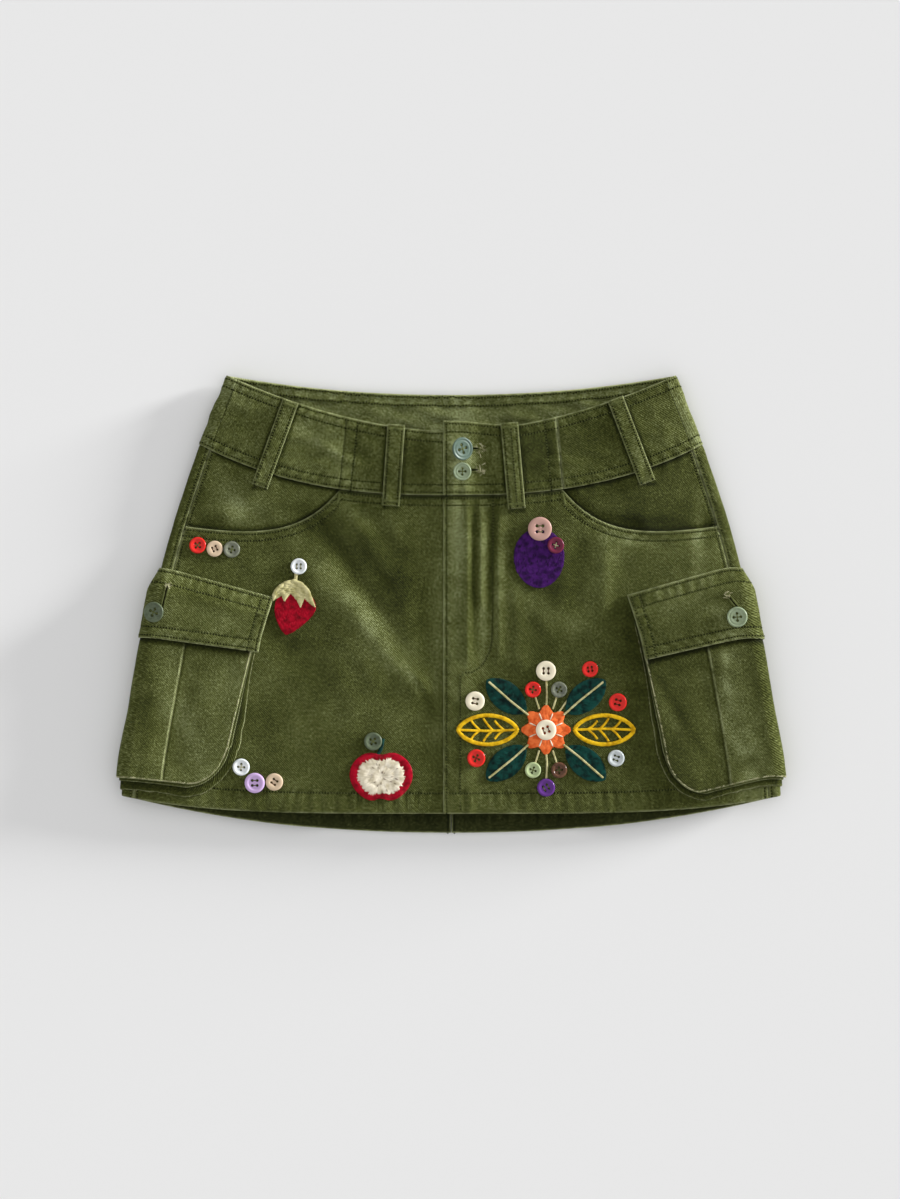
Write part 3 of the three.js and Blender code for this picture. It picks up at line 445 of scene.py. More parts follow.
def ramp_at(material, share, stops):
    """The colour at a share along a ramp, whose stops are positions and colours."""
    node = add(material, "ValToRGB", {"Fac": share})
    for position, _ in stops[1:-1]:
        node.color_ramp.elements.new(position)
    for element, (position, colour) in zip(node.color_ramp.elements, stops):
        element.position, element.color = position, linear(colour)
    return node.outputs["Color"]


def in_patches(material, shader, stops, **noise_inputs):
    """Colours a surface in soft patches a few millimetres across, between the stops of a ramp."""
    place = add(material, "TexCoord").outputs["Object"]
    patches = add(material, "TexNoise", {"Vector": place, "Scale": PATCHES, **noise_inputs})
    colour = ramp_at(material, patches.outputs["Fac"], stops)
    material.node_tree.links.new(colour, shader.inputs["Base Color"])


PATCHES = 260.0  # the noise's scale, in bumps per metre
print("olive, linear:", [round(c, 3) for c in linear("4c5129")])

# %% [markdown]
# The twill's pattern is worked out from the sheet's own coordinates, so its wales run with the cloth and
# not with the room. Wales, slubs and specks are summed into one level, and a ramp turns that level into a
# dye.

# %% Washed cotton twill
WALE = 0.0013  # metres; the real wales are 0.7 mm apart, drawn coarser so that they show
YARN = 0.0012  # slubs in the yarn
CLOUD = 0.0020  # specks where the wash took more or less dye
WAVE_PERIOD = math.pi / 10  # a wave texture of scale 1 repeats at this distance
TONE_SHARE, MIDDLE_LEVEL = 0.5, -0.375  # brings the summed level to the middle of the ramp
RUB_BREAKS, RUB_KEPT = 2.2, -0.2  # a rubbed edge is broken up by the slubs


def washed_twill(name, dyes, rubbed):
    """Dull cotton: dyes runs from the deepest to the most faded, and rubbed is the colour of edges."""
    material, shader = new_material(name, Roughness=0.9, IOR=1.47, Specular_IOR_Level=0.12)

    def summed(source, share, rest):
        links = {0: source.outputs["Fac"], 1: share, 2: rest}
        return add(material, "Math", links, operation="MULTIPLY_ADD").outputs[0]

    cloth = add(material, "UVMap", uv_map="cloth").outputs["UV"]
    slant = add(material, "Mapping", {"Vector": cloth, "Rotation": (0, 0, math.radians(-45))}).outputs[0]
    waves = {"Vector": slant, "Scale": WAVE_PERIOD / WALE, "Distortion": 3, "Detail": 2, "Detail Scale": 1.2}
    wale = add(material, "TexWave", waves, bands_direction="X")
    yarn = add(material, "TexNoise", {"Vector": cloth, "Scale": 1 / YARN, "Detail": 2, "Roughness": 0.6})
    cloud = add(material, "TexNoise", {"Vector": cloth, "Scale": 1 / CLOUD, "Detail": 1})
    tone = add(material, "Attribute", attribute_name="tone")
    wear = add(material, "Attribute", attribute_name="wear")

    level = summed(tone, TONE_SHARE, MIDDLE_LEVEL)
    for source, share in ((wale, 0.18), (yarn, 0.94), (cloud, 0.58)):
        level = summed(source, share, level)
    dyed = ramp_at(material, level, dyes)
    broken = {0: wear.outputs["Fac"], 1: summed(yarn, RUB_BREAKS, RUB_KEPT)}
    broken = add(material, "Math", broken, operation="MULTIPLY", use_clamp=True).outputs[0]
    worn = add(material, "Mix", {"Factor": broken, "A": dyed, "B": linear(rubbed)}, data_type="RGBA")
    link = material.node_tree.links.new
    link(worn.outputs["Result"], shader.inputs["Base Color"])
    height = summed(wale, 0.6, yarn.outputs["Fac"])
    bump = add(material, "Bump", {"Height": height, "Strength": 1.0, "Distance": 0.0008})
    link(bump.outputs["Normal"], shader.inputs["Normal"])
    return material


OLIVE = [(0.0, "1c2006"), (0.28, "333812"), (0.5, "484d21"), (0.72, "666c3e"), (1.0, "929a6c")]
# a darker ramp for the inner face: painted shade, since the inside that shows lies under the front
INSIDE_PAINTED_SHADE = [(0.0, "14170a"), (0.28, "20240c"), (0.5, "2e3214"), (0.72, "454a26"), (1.0, "6a7048")]
olive_twill = washed_twill("washed olive cotton twill", OLIVE, "b0b685")
inside_twill_painted_shade = washed_twill("inner face of the twill in painted shade", INSIDE_PAINTED_SHADE, "8a8f60")
print("twill: wales", WALE / MM, "mm apart, yarn slubs", YARN / MM, "mm")

# %% [markdown]
# Topstitching is cotton-wrapped thread dyed like the cloth, so a row of it shows mostly by the shade of the
# needle holes between its stitches, painted as dark discs. The embroidery thread is rayon: smooth, bright and
# glossy along its length.

# %% Threads


def spun_thread(name, colour, shade, roughness):
    """Thread of two close colours in patches a few millimetres long, as dye takes unevenly on a spool."""
    material, shader = new_material(name, Roughness=roughness, IOR=1.5, Specular_IOR_Level=0.1)
    in_patches(material, shader, [(0.3, shade), (0.6, colour)], Detail=1.0)
    return material


topstitch = spun_thread("olive cotton topstitching thread", "646a3d", "484e28", 0.85)
painted_hole_shade, _ = new_material(
    "shadowed needle hole", Base_Color=linear("13150a"), Roughness=1.0, Specular_IOR_Level=0.0
)
pale_thread = spun_thread("pale cotton thread", "b3b08c", "77754f", 0.8)
RAYON = {  # its colour in words, in light and in shade, and its roughness
    "crimson": ("crimson", "a80422", "740212", 0.5),
    "pale_green": ("pale green", "ccc594", "a29c66", 0.42),
    "purple": ("purple", "441762", "260a3a", 0.42),
    "cream": ("cream", "e8dfca", "c9bea2", 0.5),
    "orange": ("orange", "f0783c", "cf5420", 0.42),
    "teal": ("dark teal", "0f4038", "051c19", 0.42),
    "yellow": ("golden yellow", "edc21c", "bd9008", 0.42),
    "brown": ("brown", "5b3720", "3a2012", 0.42),
}
THREADS = {name: spun_thread(f"{words} rayon thread", *look) for name, (words, *look) in RAYON.items()}
print("threads:", ", ".join(THREADS))

# %% [markdown]
# The sheet's points are settled on their lines, laid on the tube and lowered where the edge rolls over or a
# seam pulls. Two numbers go with each point for the finish: wear, which is 1 on an edge rubbed pale, and
# tone, which is below 0 where cloth kept its dye or where shade is painted, and above 0 where it faded or
# where light is painted. The fades are listed place by place, like the creases, and painted light and shade
# are listed with them.

# %% Where the dye kept and where it faded, and where light and shade are painted
# fades of the dye, and with them painted light and shade: light on crease ridges and shade in their troughs,
# light over the shadow beside the fly, and a shadow beside a button
FADES_AND_PAINTED_SHADING = [  # x, y, reach along, reach across, turn in degrees, amount
    (-82, 6, 66, 11, -50, 0.50),
    (-52, -36, 28, 9, -54, 0.18),
    (-56, 26, 60, 18, -52, -0.30),
    (-104, 60, 24, 8, -46, -0.36),
    (-80, 74, 20, 8, -40, 0.34),
    (-70, 92, 26, 8, -24, 0.25),
    (-116, -34, 26, 16, -30, -0.35),
    (-48, -92, 40, 14, -30, 0.16),
    # painted light over the shadow that the right front's raised edge casts beside the fly
    (-11, -14, 100, 6, 90, 0.30),
    (-36, 40, 44, 8, 86, -0.20),
    (-26, 114, 14, 14, 0, -0.42),
    # the same painted light on the band beside the fly
    (-11, 118, 22, 6, 90, 0.30),
    (5, 50, 100, 10, 90, 0.58),
    # painted shade in the fly's troughs and painted light on its ridges
    (18, 28, 54, 2.4, 89, -0.50),
    (25, 44, 56, 3.8, 89, 0.50),
    (31.5, 30, 54, 2.8, 87, -0.42),
    (38.5, 34, 58, 5, 86, 0.50),
    (26, -20, 34, 4, 90, 0.35),
    (-28, -62, 14, 3, -60, 0.55),
    (-22, -70, 14, 3, -60, -0.45),
    (10, 118, 26, 12, 90, 0.62),
    (36, 118, 24, 5, 90, 0.30),
    (118, 34, 42, 15, 84, 0.34),
    (84, 6, 40, 14, 70, -0.25),
    (74, -4, 40, 8, -30, 0.28),
    (140, 50, 22, 6, -12, 0.50),
    (144, -40, 44, 12, -72, -0.45),
    (146, 66, 36, 5, -6, -0.40),
    (193, 56, 26, 6, 86, 0.60),
    (-168, 80, 22, 10, -52, 0.32),
    # painted shadow beside a button
    (-186, 63, 9, 7, 0, -0.45),
    (-206, 130, 14, 10, 60, -0.35),
    (-100, 124, 30, 6, -30, 0.30),
    (-70, 118, 20, 6, -60, -0.25),
    (70, 116, 16, 22, 0, -0.35),
    (106, 124, 26, 16, 0, -0.30),
    (172, 136, 30, 14, -70, 0.22),
    (-203, -104, 36, 9, -70, 0.24),
    (-238, -76, 44, 9, 84, -0.45),
    (222, -84, 84, 20, -80, 0.62),
    (-197, 92, 28, 8, 75, -0.30),
    (180, -88, 34, 4, -60, -0.38),
    (170, -86, 26, 6, -60, 0.36),
    (206, -52, 20, 3, -84, -0.28),
    (214, -50, 24, 3, -84, 0.28),
    (176, 4, 22, 16, 0, 0.22),
    (-200, 6, 30, 7, -14, -0.22),
]
UNEVEN_DYE = ((70.0, 0.16), (26.0, 0.20), (9.0, 0.16))  # size across and strength
FADE_BREAKS = 0.6  # how much noise breaks the fades up


# uneven dye at random, plus the listed fades with the painted light and shade among them
def fading_and_painted_shading(x, y):
    tone = sum(strength * uneven(x, y, size, 40 + size) for size, strength in UNEVEN_DYE)
    broken = 1 + FADE_BREAKS * uneven(x, y, 12.0, 20)
    for fx, fy, along, wide, turn, amount in FADES_AND_PAINTED_SHADING:
        c, s = math.cos(math.radians(turn)), math.sin(math.radians(turn))
        dx, dy = (x - fx) * c + (y - fy) * s, (y - fy) * c - (x - fx) * s
        tone = tone + amount * broken * np.exp(-((dx / along) ** 2) - (dy / wide) ** 2)
    return tone


print("tone at the middle of the left front:", fading_and_painted_shading(np.array([-100.0]), np.array([-40.0])).round(2))

# %% [markdown]
# A sheet is woven line by line: its columns give u and its rows give y, and both are settled by turns
# until they agree. Then the tube's own function lays it down, and every point learns how far it lies from
# each edge.

# %% Weave a sheet
SPACING = 2.4  # between lines of the grid
BORDER_PITCH = 0.5  # between the places on an edge that distances are measured to
SEAM_PUCKER, SEAM_WAVE = 0.4, 8.5  # height and length of the slanting waves along stitches
EDGES = ("near", "far", "top", "low")


def unit_vectors(vectors):
    return vectors / np.linalg.norm(vectors, axis=-1, keepdims=True)


def normals_of(points):
    return unit_vectors(np.cross(np.gradient(points, axis=1), np.gradient(points, axis=0)))


def far_along(line):
    return np.concatenate([[0], np.cumsum(np.linalg.norm(np.diff(line, axis=0), axis=1))])


def at_distances(at, far, line):
    """What a line of points, which lie far along it, comes to at other distances along it."""
    return np.stack([np.interp(at, far, column) for column in line.T], axis=1)


def distance_to(points, border):
    far = far_along(border)
    at = np.arange(BORDER_PITCH / 2, far[-1], BORDER_PITCH)
    tree = KDTree(len(at))
    for i, place in enumerate(at_distances(at, far, border)):
        tree.insert(place, i)
    tree.balance()
    flat = points.reshape(-1, 3)
    return np.array([tree.find(p)[2] for p in flat]).reshape(points.shape[:2])


def puckered(u, y, edge, rows, away):
    """Slanting waves between and beside an edge's rows of stitches, from -1 to 1."""
    along = y if edge in ("near", "far") else u
    phase = 2 * math.pi * (along + 0.9 * away) / SEAM_WAVE + 3.0 * uneven(u, y, 23.0, 30)
    close = bell(away - np.mean(rows), 2.5 + (max(rows) - min(rows)) / 2)
    return np.sin(phase) * close * np.clip(0.6 + 0.8 * uneven(u, y, 33.0, 31), 0, 1)


def weave(
    name, sides, ends, outer,
    thick=CLOTH, seams=None, side=1, start=0.0, spacing=SPACING, own=None, worn=EDGES,
):
    """A sheet between side edges, near to far from the centre front, and end edges, top to low.

    outer is the height of its outer face, own adds to that, and seams are the distances of its stitches from
    each edge. Its worn edges roll over. side -1 mirrors it, and start is a y inside it.
    """
    seams = {edge: () for edge in EDGES} | (seams or {})
    u_first, u_last = (as_line(edge)(np.zeros(1), np.full(1, start))[0] for edge in (sides[0], sides[-1]))
    u_here = np.linspace(u_first, u_last, 7)
    y_first, y_last = (edge(u_here, np.full(7, start)) for edge in (ends[0], ends[-1]))
    y_here = np.linspace(y_first.max(), y_last.min(), 7)
    columns, (near, far) = grid_lines(sides, seams["near"], seams["far"], spacing, False, (u_here, y_here))
    rows, (top, low) = grid_lines(ends, seams["top"], seams["low"], spacing, True, (u_here, y_here))
    u = np.zeros((len(rows), len(columns)))
    y = np.full_like(u, start)
    for _ in range(SETTLING):
        for j, line in enumerate(columns):
            u[:, j] = line(u[:, j], y[:, j])
        for i, line in enumerate(rows):
            y[i] = line(u[i], y[i])
    d = outer(u, y) + np.zeros_like(u)
    bare = surface(side * u, y, d)
    borders = {"near": bare[:, 0], "far": bare[:, -1], "top": bare[0], "low": bare[-1]}
    away = {edge: distance_to(bare, border) for edge, border in borders.items()}
    rolled = np.min([away[edge] for edge in worn], axis=0)
    curl = 1 - np.clip(rolled / ROLL_WIDE, 0, 1)
    drop = ROLL_DROP * (1 - np.sqrt(1 - curl**2))
    groove = np.zeros_like(u)
    for index in (*near.values(), *far.values()):
        groove[:, index] = 1
    for index in (*top.values(), *low.values()):
        groove[index, :] = 1
    puckers = sum(puckered(u, y, s, seams[s], away[s]) for s in EDGES if seams[s])
    d = d - drop - GROOVE_DEEP * groove + SEAM_PUCKER * puckers + (own(u, y, away) if own else 0)
    points = surface(side * u, y, d)
    normals = normals_of(points)
    lifted = surface(side * u, y, d + 1) - points
    if np.sum(normals * lifted) < 0:
        normals = -normals
    return SimpleNamespace(
        name=name, u=side * u, y=y, bare=bare, points=points, normals=normals, thick=thick, away=away,
        drop=drop, groove=groove, puckers=puckers, sewn={"near": near, "far": far, "top": top, "low": low},
    )


print("a sheet's points lie at most", SPACING, "mm apart")

# %% [markdown]
# A woven sheet becomes a piece of the skirt here: a grid of faces with its points moved into place, its own
# coordinates in metres of cloth, the two numbers for the finish, and its thickness. It rides on the skirt,
# takes the place of its solid, and the size of the flat cut it came from is printed.

# %% Finish a sheet
TWICE = 2 * CLOTH  # the thickest cloth, a doubled hem
EDGE_RUBBED, RUB_WIDE = 0.85, (0.1, 1.2)  # how pale a folded edge is rubbed, and how far from it that ends
# painted shade in the stitches' grooves and the bellows' hollow, then how much the puckers' ridges pale
GROOVE_PAINTED_SHADE, PUCKER_TONE = -0.75, 0.35
BESIDE_EDGE = SimpleNamespace(tone=0.22, away=4.5, wide=3.0)  # the wash also pales a strip along each edge
LEAST_AREA = 0.3  # of the rectangle that a cut piece fits in


def mesh_of(name, shape):
    mesh = bpy.data.meshes.new(name)
    shape.to_mesh(mesh)
    shape.free()
    return mesh


def grid_mesh(name, points, normals):
    rows, columns = points.shape[:2]
    grid = bmesh.new()
    bmesh.ops.create_grid(grid, x_segments=columns - 1, y_segments=rows - 1, size=0.5)
    mesh = mesh_of(name, grid)
    unit = np.empty(len(mesh.vertices) * 3)
    mesh.vertices.foreach_get("co", unit)
    unit = unit.reshape(-1, 3)
    column = np.rint((unit[:, 0] + 0.5) * (columns - 1)).astype(int)
    row = np.rint((unit[:, 1] + 0.5) * (rows - 1)).astype(int)
    mesh.vertices.foreach_set("co", ((points[row, column] + ORIGIN) * MM).ravel())
    mesh.update()
    if np.dot(mesh.polygons[0].normal, normals[0, 0]) < 0:
        mesh.flip_normals()
    return mesh, (row, column)


def numbers_on(mesh, name, values):
    mesh.attributes.new(name, "FLOAT", "POINT").data.foreach_set("value", np.asarray(values, float).ravel())


def own_coordinates(sheet):
    """Distances along the weft and down the warp of a piece that was not cut upright."""
    weft = np.linalg.norm(np.diff(sheet.bare, axis=1, prepend=sheet.bare[:, :1]), axis=2).cumsum(axis=1)
    warp = np.linalg.norm(np.diff(sheet.bare, axis=0, prepend=sheet.bare[:1]), axis=2).cumsum(axis=0)
    return weft * (np.sign(sheet.points[0, -1, 0] - sheet.points[0, 0, 0]) or 1), -warp


def coordinates_on(mesh, u, y):
    corners = np.empty(len(mesh.loops), int)
    mesh.loops.foreach_get("vertex_index", corners)
    uv = np.stack([u[corners], y[corners]], axis=1) * MM
    mesh.uv_layers.new(name="cloth").uv.foreach_set("vector", uv.ravel())


def as_piece(name, mesh, materials, replaced=()):
    for material in materials:
        mesh.materials.append(material)
    mesh.shade_smooth()
    piece = in_scene(name, mesh)
    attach(piece, "root")
    if replaced:
        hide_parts(*replaced)
    return piece


def finish_cloth(
    sheet, tone=0.0, rubbed=1.0, worn=EDGES, rests_on=(),
    doubled=None, tint=None, rub=None, inside=None, tilted=False,
):
    """The piece of cloth for a woven sheet.

    tone shifts its dye, rubbed is how pale its worn edges are, and rub gives that place by place. tint adds
    wear and tone, doubled is 1 where the cloth is folded double, inside is the finish of the inner face, and
    tilted says that the piece was not cut upright.
    """
    mesh, at = grid_mesh(sheet.name, sheet.points, sheet.normals)
    coordinates_on(mesh, *(part[at] for part in (own_coordinates(sheet) if tilted else (sheet.u, sheet.y))))
    near_worn = np.min([sheet.away[edge] for edge in worn], axis=0)
    patchy = 0.72 + 0.6 * uneven(sheet.u, sheet.y, 5.0, 9) + 0.5 * uneven(sheet.u, sheet.y, 30.0, 10)
    wear = EDGE_RUBBED * rubbed * (1 - smooth(*RUB_WIDE, near_worn)) * patchy * (rub(sheet) if rub else 1)
    # tone: uneven dye and the listed fades with their painted light and shade, then painted shade in grooves
    # and hollows, pale ridges of puckers and a pale strip along each edge
    shade = tone + fading_and_painted_shading(sheet.points[..., 0], sheet.points[..., 1])
    shade = shade + GROOVE_PAINTED_SHADE * sheet.groove + PUCKER_TONE * sheet.puckers
    strip = BESIDE_EDGE.tone * bell(near_worn - BESIDE_EDGE.away, BESIDE_EDGE.wide)
    shade = shade + strip * (0.3 + uneven(sheet.u, sheet.y, 7.0, 3))
    if tint:
        extra_wear, extra_tone = tint(sheet)
        wear, shade = np.maximum(wear, extra_wear), shade + extra_tone
    numbers_on(mesh, "wear", np.clip(wear, 0, 1)[at])
    numbers_on(mesh, "tone", shade[at])
    materials = [olive_twill, inside] if inside else [olive_twill]
    piece = as_piece(sheet.name, mesh, materials, [sheet.name])
    thick = (sheet.thick * (1 + doubled(sheet) if doubled else 1) - sheet.drop) / TWICE
    weights = piece.vertex_groups.new(name="thickness")
    for index, weight in enumerate(thick[at]):
        weights.add([index], float(weight), "REPLACE")
    wall = piece.modifiers.new("thickness of the cloth", "SOLIDIFY")
    wall.thickness, wall.offset = TWICE * MM, -1
    wall.vertex_group = weights.name
    wall.material_offset = len(materials) - 1
    declare_cloth(piece, sheet, rests_on)
    return piece


def longest(points):
    return np.linalg.norm(np.diff(points, axis=1), axis=2).sum(axis=1).max()


def declare_cloth(piece, sheet, rests_on):
    """Says which flat cut this cloth has: its longest weft, its longest warp and its area."""
    width, length = longest(sheet.bare) * MM, longest(sheet.bare.swapaxes(0, 1)) * MM
    a, b = sheet.bare[1:, 1:] - sheet.bare[:-1, :-1], sheet.bare[1:, :-1] - sheet.bare[:-1, 1:]
    area = float(np.linalg.norm(np.cross(a, b), axis=2).sum() / 2) * MM * MM
    area = min(max(area, LEAST_AREA * width * length), width * length)
    list(rests_on)
    cut = f"{width / MM:.0f} x {length / MM:.0f} mm, {area * 1e4:.0f} cm2"
    print(f"{sheet.name}: {cut}, {len(piece.data.polygons)} faces")


print("cloth is finished as sheets of", CLOTH, "mm")

# %% [markdown]
# ## Panels
# Four panels make the tube: two fronts and two backs. The right front laps the left one at the centre, so
# it stands 1.5 mm higher there. Their hems are turned up 16 mm and stitched once, which doubles the cloth.
# A scooped edge cuts each front for the hip pocket, and the facing shows in it.

# %% Edges of the panels
SCOOP = SimpleNamespace(start=87, end=208, low=55, rise=34.5, power=4.3, lift=6)
FACING_OVERLAP, FACING_UNDER, FACING_CLEAR = 12, -1.5, -0.25
RAISE = (24, 12)  # from u to u, the right front comes down from its lap to the height of the left one
FRONT_RAISE, BAND_RAISE = 1.5, 2.5
HEM_STEP = 0.6
HEM_DOUBLES = {"right": (12, 24), "left": (8.2, 18.2)}  # from the centre, where a front's hem grows double
SEAM_ROW, TOP_ROWS = 2.4, (2.4, 7.6)  # distances of stitches from their edges
SIDES = {"left": -1, "right": 1}


def scoop_y(x):
    t = np.clip((np.abs(x) - SCOOP.start) / (SCOOP.end - SCOOP.start), 0, 1)
    return SCOOP.low + SCOOP.rise * (1 - t) ** SCOOP.power + SCOOP.lift * t**3


def panel_top(u, y):
    """The band seam in the middle of a front, and the pocket mouth beyond it."""
    seam = edge_y(BAND_SEAM, u) - CLEAR
    return np.where(np.abs(u) < SCOOP.start, seam, np.minimum(seam, scoop_y(u)))


def overlap(u):
    """1 where the right front laps the left, fading out beyond the fly."""
    return np.where(u < CENTRE_EDGE, 0, smooth(*RAISE, u))


def hem_y(u, y):
    return edge_y(HEM_EDGE, u, y)


def in_hem(sheet):
    return 1 - smooth(HEM - HEM_STEP, HEM, sheet.y - edge_y(HEM_EDGE, sheet.u, sheet.y))


def doubled_front(name):
    return lambda sheet: in_hem(sheet) * smooth(*HEM_DOUBLES[name], SIDES[name] * sheet.u)


print("pocket mouth, mm up from the middle:", scoop_y(np.array([90, 120, 200])).round(1))

# %% [markdown]
# Shade is painted on the fronts where the band and the loops shade them, and they are rubbed along the pocket
# mouths. Their side edges end at the side seams, and the backs run on from there round the folds.

# %% Fronts


def mouth_only(sheet):
    covered = (1 - smooth(86, 92, np.abs(sheet.u))) * (sheet.away["top"] < 4)
    return 1 - 0.8 * covered


LOOP_WIDTH, LOOP_OUT, LOOP_THICK = 13.8, 2.9, 1.4
LOOPS = {  # x and y of the top end, then of the lower end
    "loop_left_outer": (-125.1, 158.5, -149.3, 91.8),
    "loop_left_inner": (-42.8, 140.2, -47.1, 76.7),
    "loop_right_inner": (45.2, 141.7, 51.2, 74.6),
    "loop_right_outer": (127.9, 160.5, 153.3, 94.8),
}


def painted_shade_under_band(sheet):
    """Painted shade: cloth is darkened right under the band's edge and the loops' lower ends, and facings
    along the pocket mouth too, where the edges above shade them.
    """
    below = edge_y(BAND_SEAM, sheet.u) - sheet.y
    tone = -0.9 * bell(below - 0.8, 1.8)
    for _, _, low_x, low_y in LOOPS.values():
        off, past = np.abs(sheet.u - low_x), low_y - sheet.y
        tone = tone - 0.8 * bell(past - 0.8, 1.5) * (1 - smooth(0.4, 0.6, off / LOOP_WIDTH))
    if sheet.name.startswith("facing"):
        tone = tone - 1.0 * bell(sheet.y - scoop_y(sheet.u) - 0.4, 2.2)
    return 0, tone


def flat_on(u, y):
    return 0 * u


def to_side_seam(u, y):
    return side_seam(y) - CLEAR


def from_side_seam(u, y):
    return side_seam(y) + CLEAR


def up_to_band(u, y):
    return edge_y(BAND_SEAM, u, y) - CLEAR


# grid lines just before and just after the side fold
ROUND_FOLD = [lambda u, y: flat_half(y) - 0.5, lambda u, y: flat_half(y) + FOLD_LONG + 0.5]
FLY_LINE = 46  # a grid line beyond the fly
FRONTS = {  # centre edge, height over the tube, stitches beside the centre edge, and worn edges
    "right": (CENTRE_EDGE, lambda u, y: FRONT_RAISE * overlap(u), (2.6,), EDGES),
    "left": (-UNDERLAP, flat_on, (), ("far", "top", "low")),
}
fronts = {}
for name, (centre, outer, centre_row, worn) in FRONTS.items():
    fronts[name] = weave(
        f"front_{name}",
        sides=[centre, FLY_LINE, to_side_seam],
        ends=[panel_top, hem_y],
        outer=outer,
        seams={"near": centre_row, "top": TOP_ROWS, "low": (HEM,), "far": (SEAM_ROW,)},
        side=SIDES[name],
    )
    finish_cloth(
        fronts[name],
        worn=worn,
        rub=mouth_only,
        rests_on=["back_left", "back_right"],
        doubled=doubled_front(name),
        tint=painted_shade_under_band,
    )

# %% [markdown]
# Each back starts at its side seam on the front, turns round the fold and reaches the centre seam. Its inner
# face has a darker finish of its own: painted shade, because that inside shows only under the front's hem, in
# the front's shadow.

# %% Backs
backs = {}
for name, side in SIDES.items():
    backs[name] = weave(
        f"back_{name}",
        sides=[from_side_seam, *ROUND_FOLD, lambda u, y: girth(y) / 2 - CLEAR],
        ends=[up_to_band, hem_y],
        outer=flat_on,
        seams={"near": (SEAM_ROW,), "far": (SEAM_ROW,), "low": (HEM,)},
        side=side,
    )
    finish_cloth(backs[name], worn=("near", "far", "low"), doubled=in_hem, inside=inside_twill_painted_shade)

# %% [markdown]
# Behind each pocket mouth lies a facing. It runs on under the front there, so that no gap opens, and comes
# up to the front's own height above the mouth.

# %% Facings
FACING_TONE = {"left": 0.14, "right": -0.22}


def under_mouth(u, y):
    over = np.where(np.abs(u) < SCOOP.start, 0, y - scoop_y(u))
    return mix(FACING_UNDER, FACING_CLEAR, smooth(0, FACING_OVERLAP, over))


facings = {}
for name, side in SIDES.items():
    facings[name] = sheet = weave(
        f"facing_{name}",
        sides=[SCOOP.start - FACING_OVERLAP, to_side_seam],
        ends=[up_to_band, lambda u, y: scoop_y(u) - FACING_OVERLAP],
        outer=under_mouth,
        seams={"far": (SEAM_ROW,)},
        side=side,
        start=80.0,
    )
    finish_cloth(sheet, tone=FACING_TONE[name], worn=("far",), rests_on=[f"front_{name}"], tint=painted_shade_under_band)

# %% [markdown]
# ## Waistband and belt loops
# The band is two layers of twill turned in on each other, in five pieces, so it is stiff and stands proud
# of the panels. Four lines of stitching hold it. The back piece runs round both sides and shows its inside
# above the lower front edge. The loops are narrow strips, folded in three and tacked at both ends.

# %% Waistband
BAND_OUT, BAND_THICK = 1.2, 2.2
BAND_ROWS = {"top": (2.2, 8.6), "low": (2.2, 8.2)}
RIGHT_TOP_RISE, RIGHT_TOP_FADE = 8, 60
BAND_X_TOP, BAND_X_LOW = (81.5, 147), (87.5, 90)  # the slanting seam between a front and a side piece


def waist_y(u, y):
    return edge_y(WAIST, u, y)


def right_waist_y(u, y):
    """The buttoned-over end of the band stands higher than the one beneath it."""
    return edge_y(WAIST, u) + RIGHT_TOP_RISE * (1 - smooth(0, RIGHT_TOP_FADE, u))


def band_low(u, y):
    return edge_y(BAND_SEAM, u, y) + CLEAR


def band_seam_x(u, y):
    return mix(BAND_X_LOW[0], BAND_X_TOP[0], (y - BAND_X_LOW[1]) / (BAND_X_TOP[1] - BAND_X_LOW[1]))


def rippled(u, y, away):
    """The band's layers creep on each other between its rows of stitches and ripple along it."""
    between = smooth(0, 6, np.minimum(away["top"], away["low"]))
    return -0.5 + (1.2 * uneven(u, 3.0 * y, 24.0, 2) + 0.35 * uneven(u, y, 7.0, 12)) * between


def painted_shade_beside_loops(sheet):
    """Painted shade: the band is darkened right beside the loops, where they shade it."""
    tone = 0 * sheet.u
    for top_x, top_y, low_x, low_y in LOOPS.values():
        off = np.abs(sheet.u - low_x - (top_x - low_x) * (sheet.y - low_y) / (top_y - low_y)) - LOOP_WIDTH / 2
        tone = tone - 0.9 * bell(off - 0.6, 1.5)
    return 0, tone


def flat_band(u):
    return 0 * u


bands = {}


def band(name, sides, tone, top=waist_y, raised=flat_band, side=1, rows=None, worn=EDGES, rubbed_at=None):
    """A piece of the band. Its worn edges roll over, and it is rubbed there too unless rubbed_at is given."""
    bands[name] = weave(
        f"band_{name}",
        sides=sides,
        ends=[top, band_low],
        outer=lambda u, y: BAND_OUT + raised(u),
        thick=BAND_THICK,
        seams=BAND_ROWS | (rows or {}),
        side=side,
        start=130.0,
        own=rippled,
        worn=worn,
    )
    rests_on = ["band_back"] if name != "back" else []
    finish_cloth(
        bands[name], tone=tone, worn=rubbed_at or worn, rests_on=rests_on, tint=painted_shade_beside_loops, tilted=True
    )


END_ROW = (9.0,)  # stitches beside the slanting seam


def to_band_seam(u, y):
    return band_seam_x(u, y) - CLEAR


def from_band_seam(u, y):
    return band_seam_x(u, y) + CLEAR


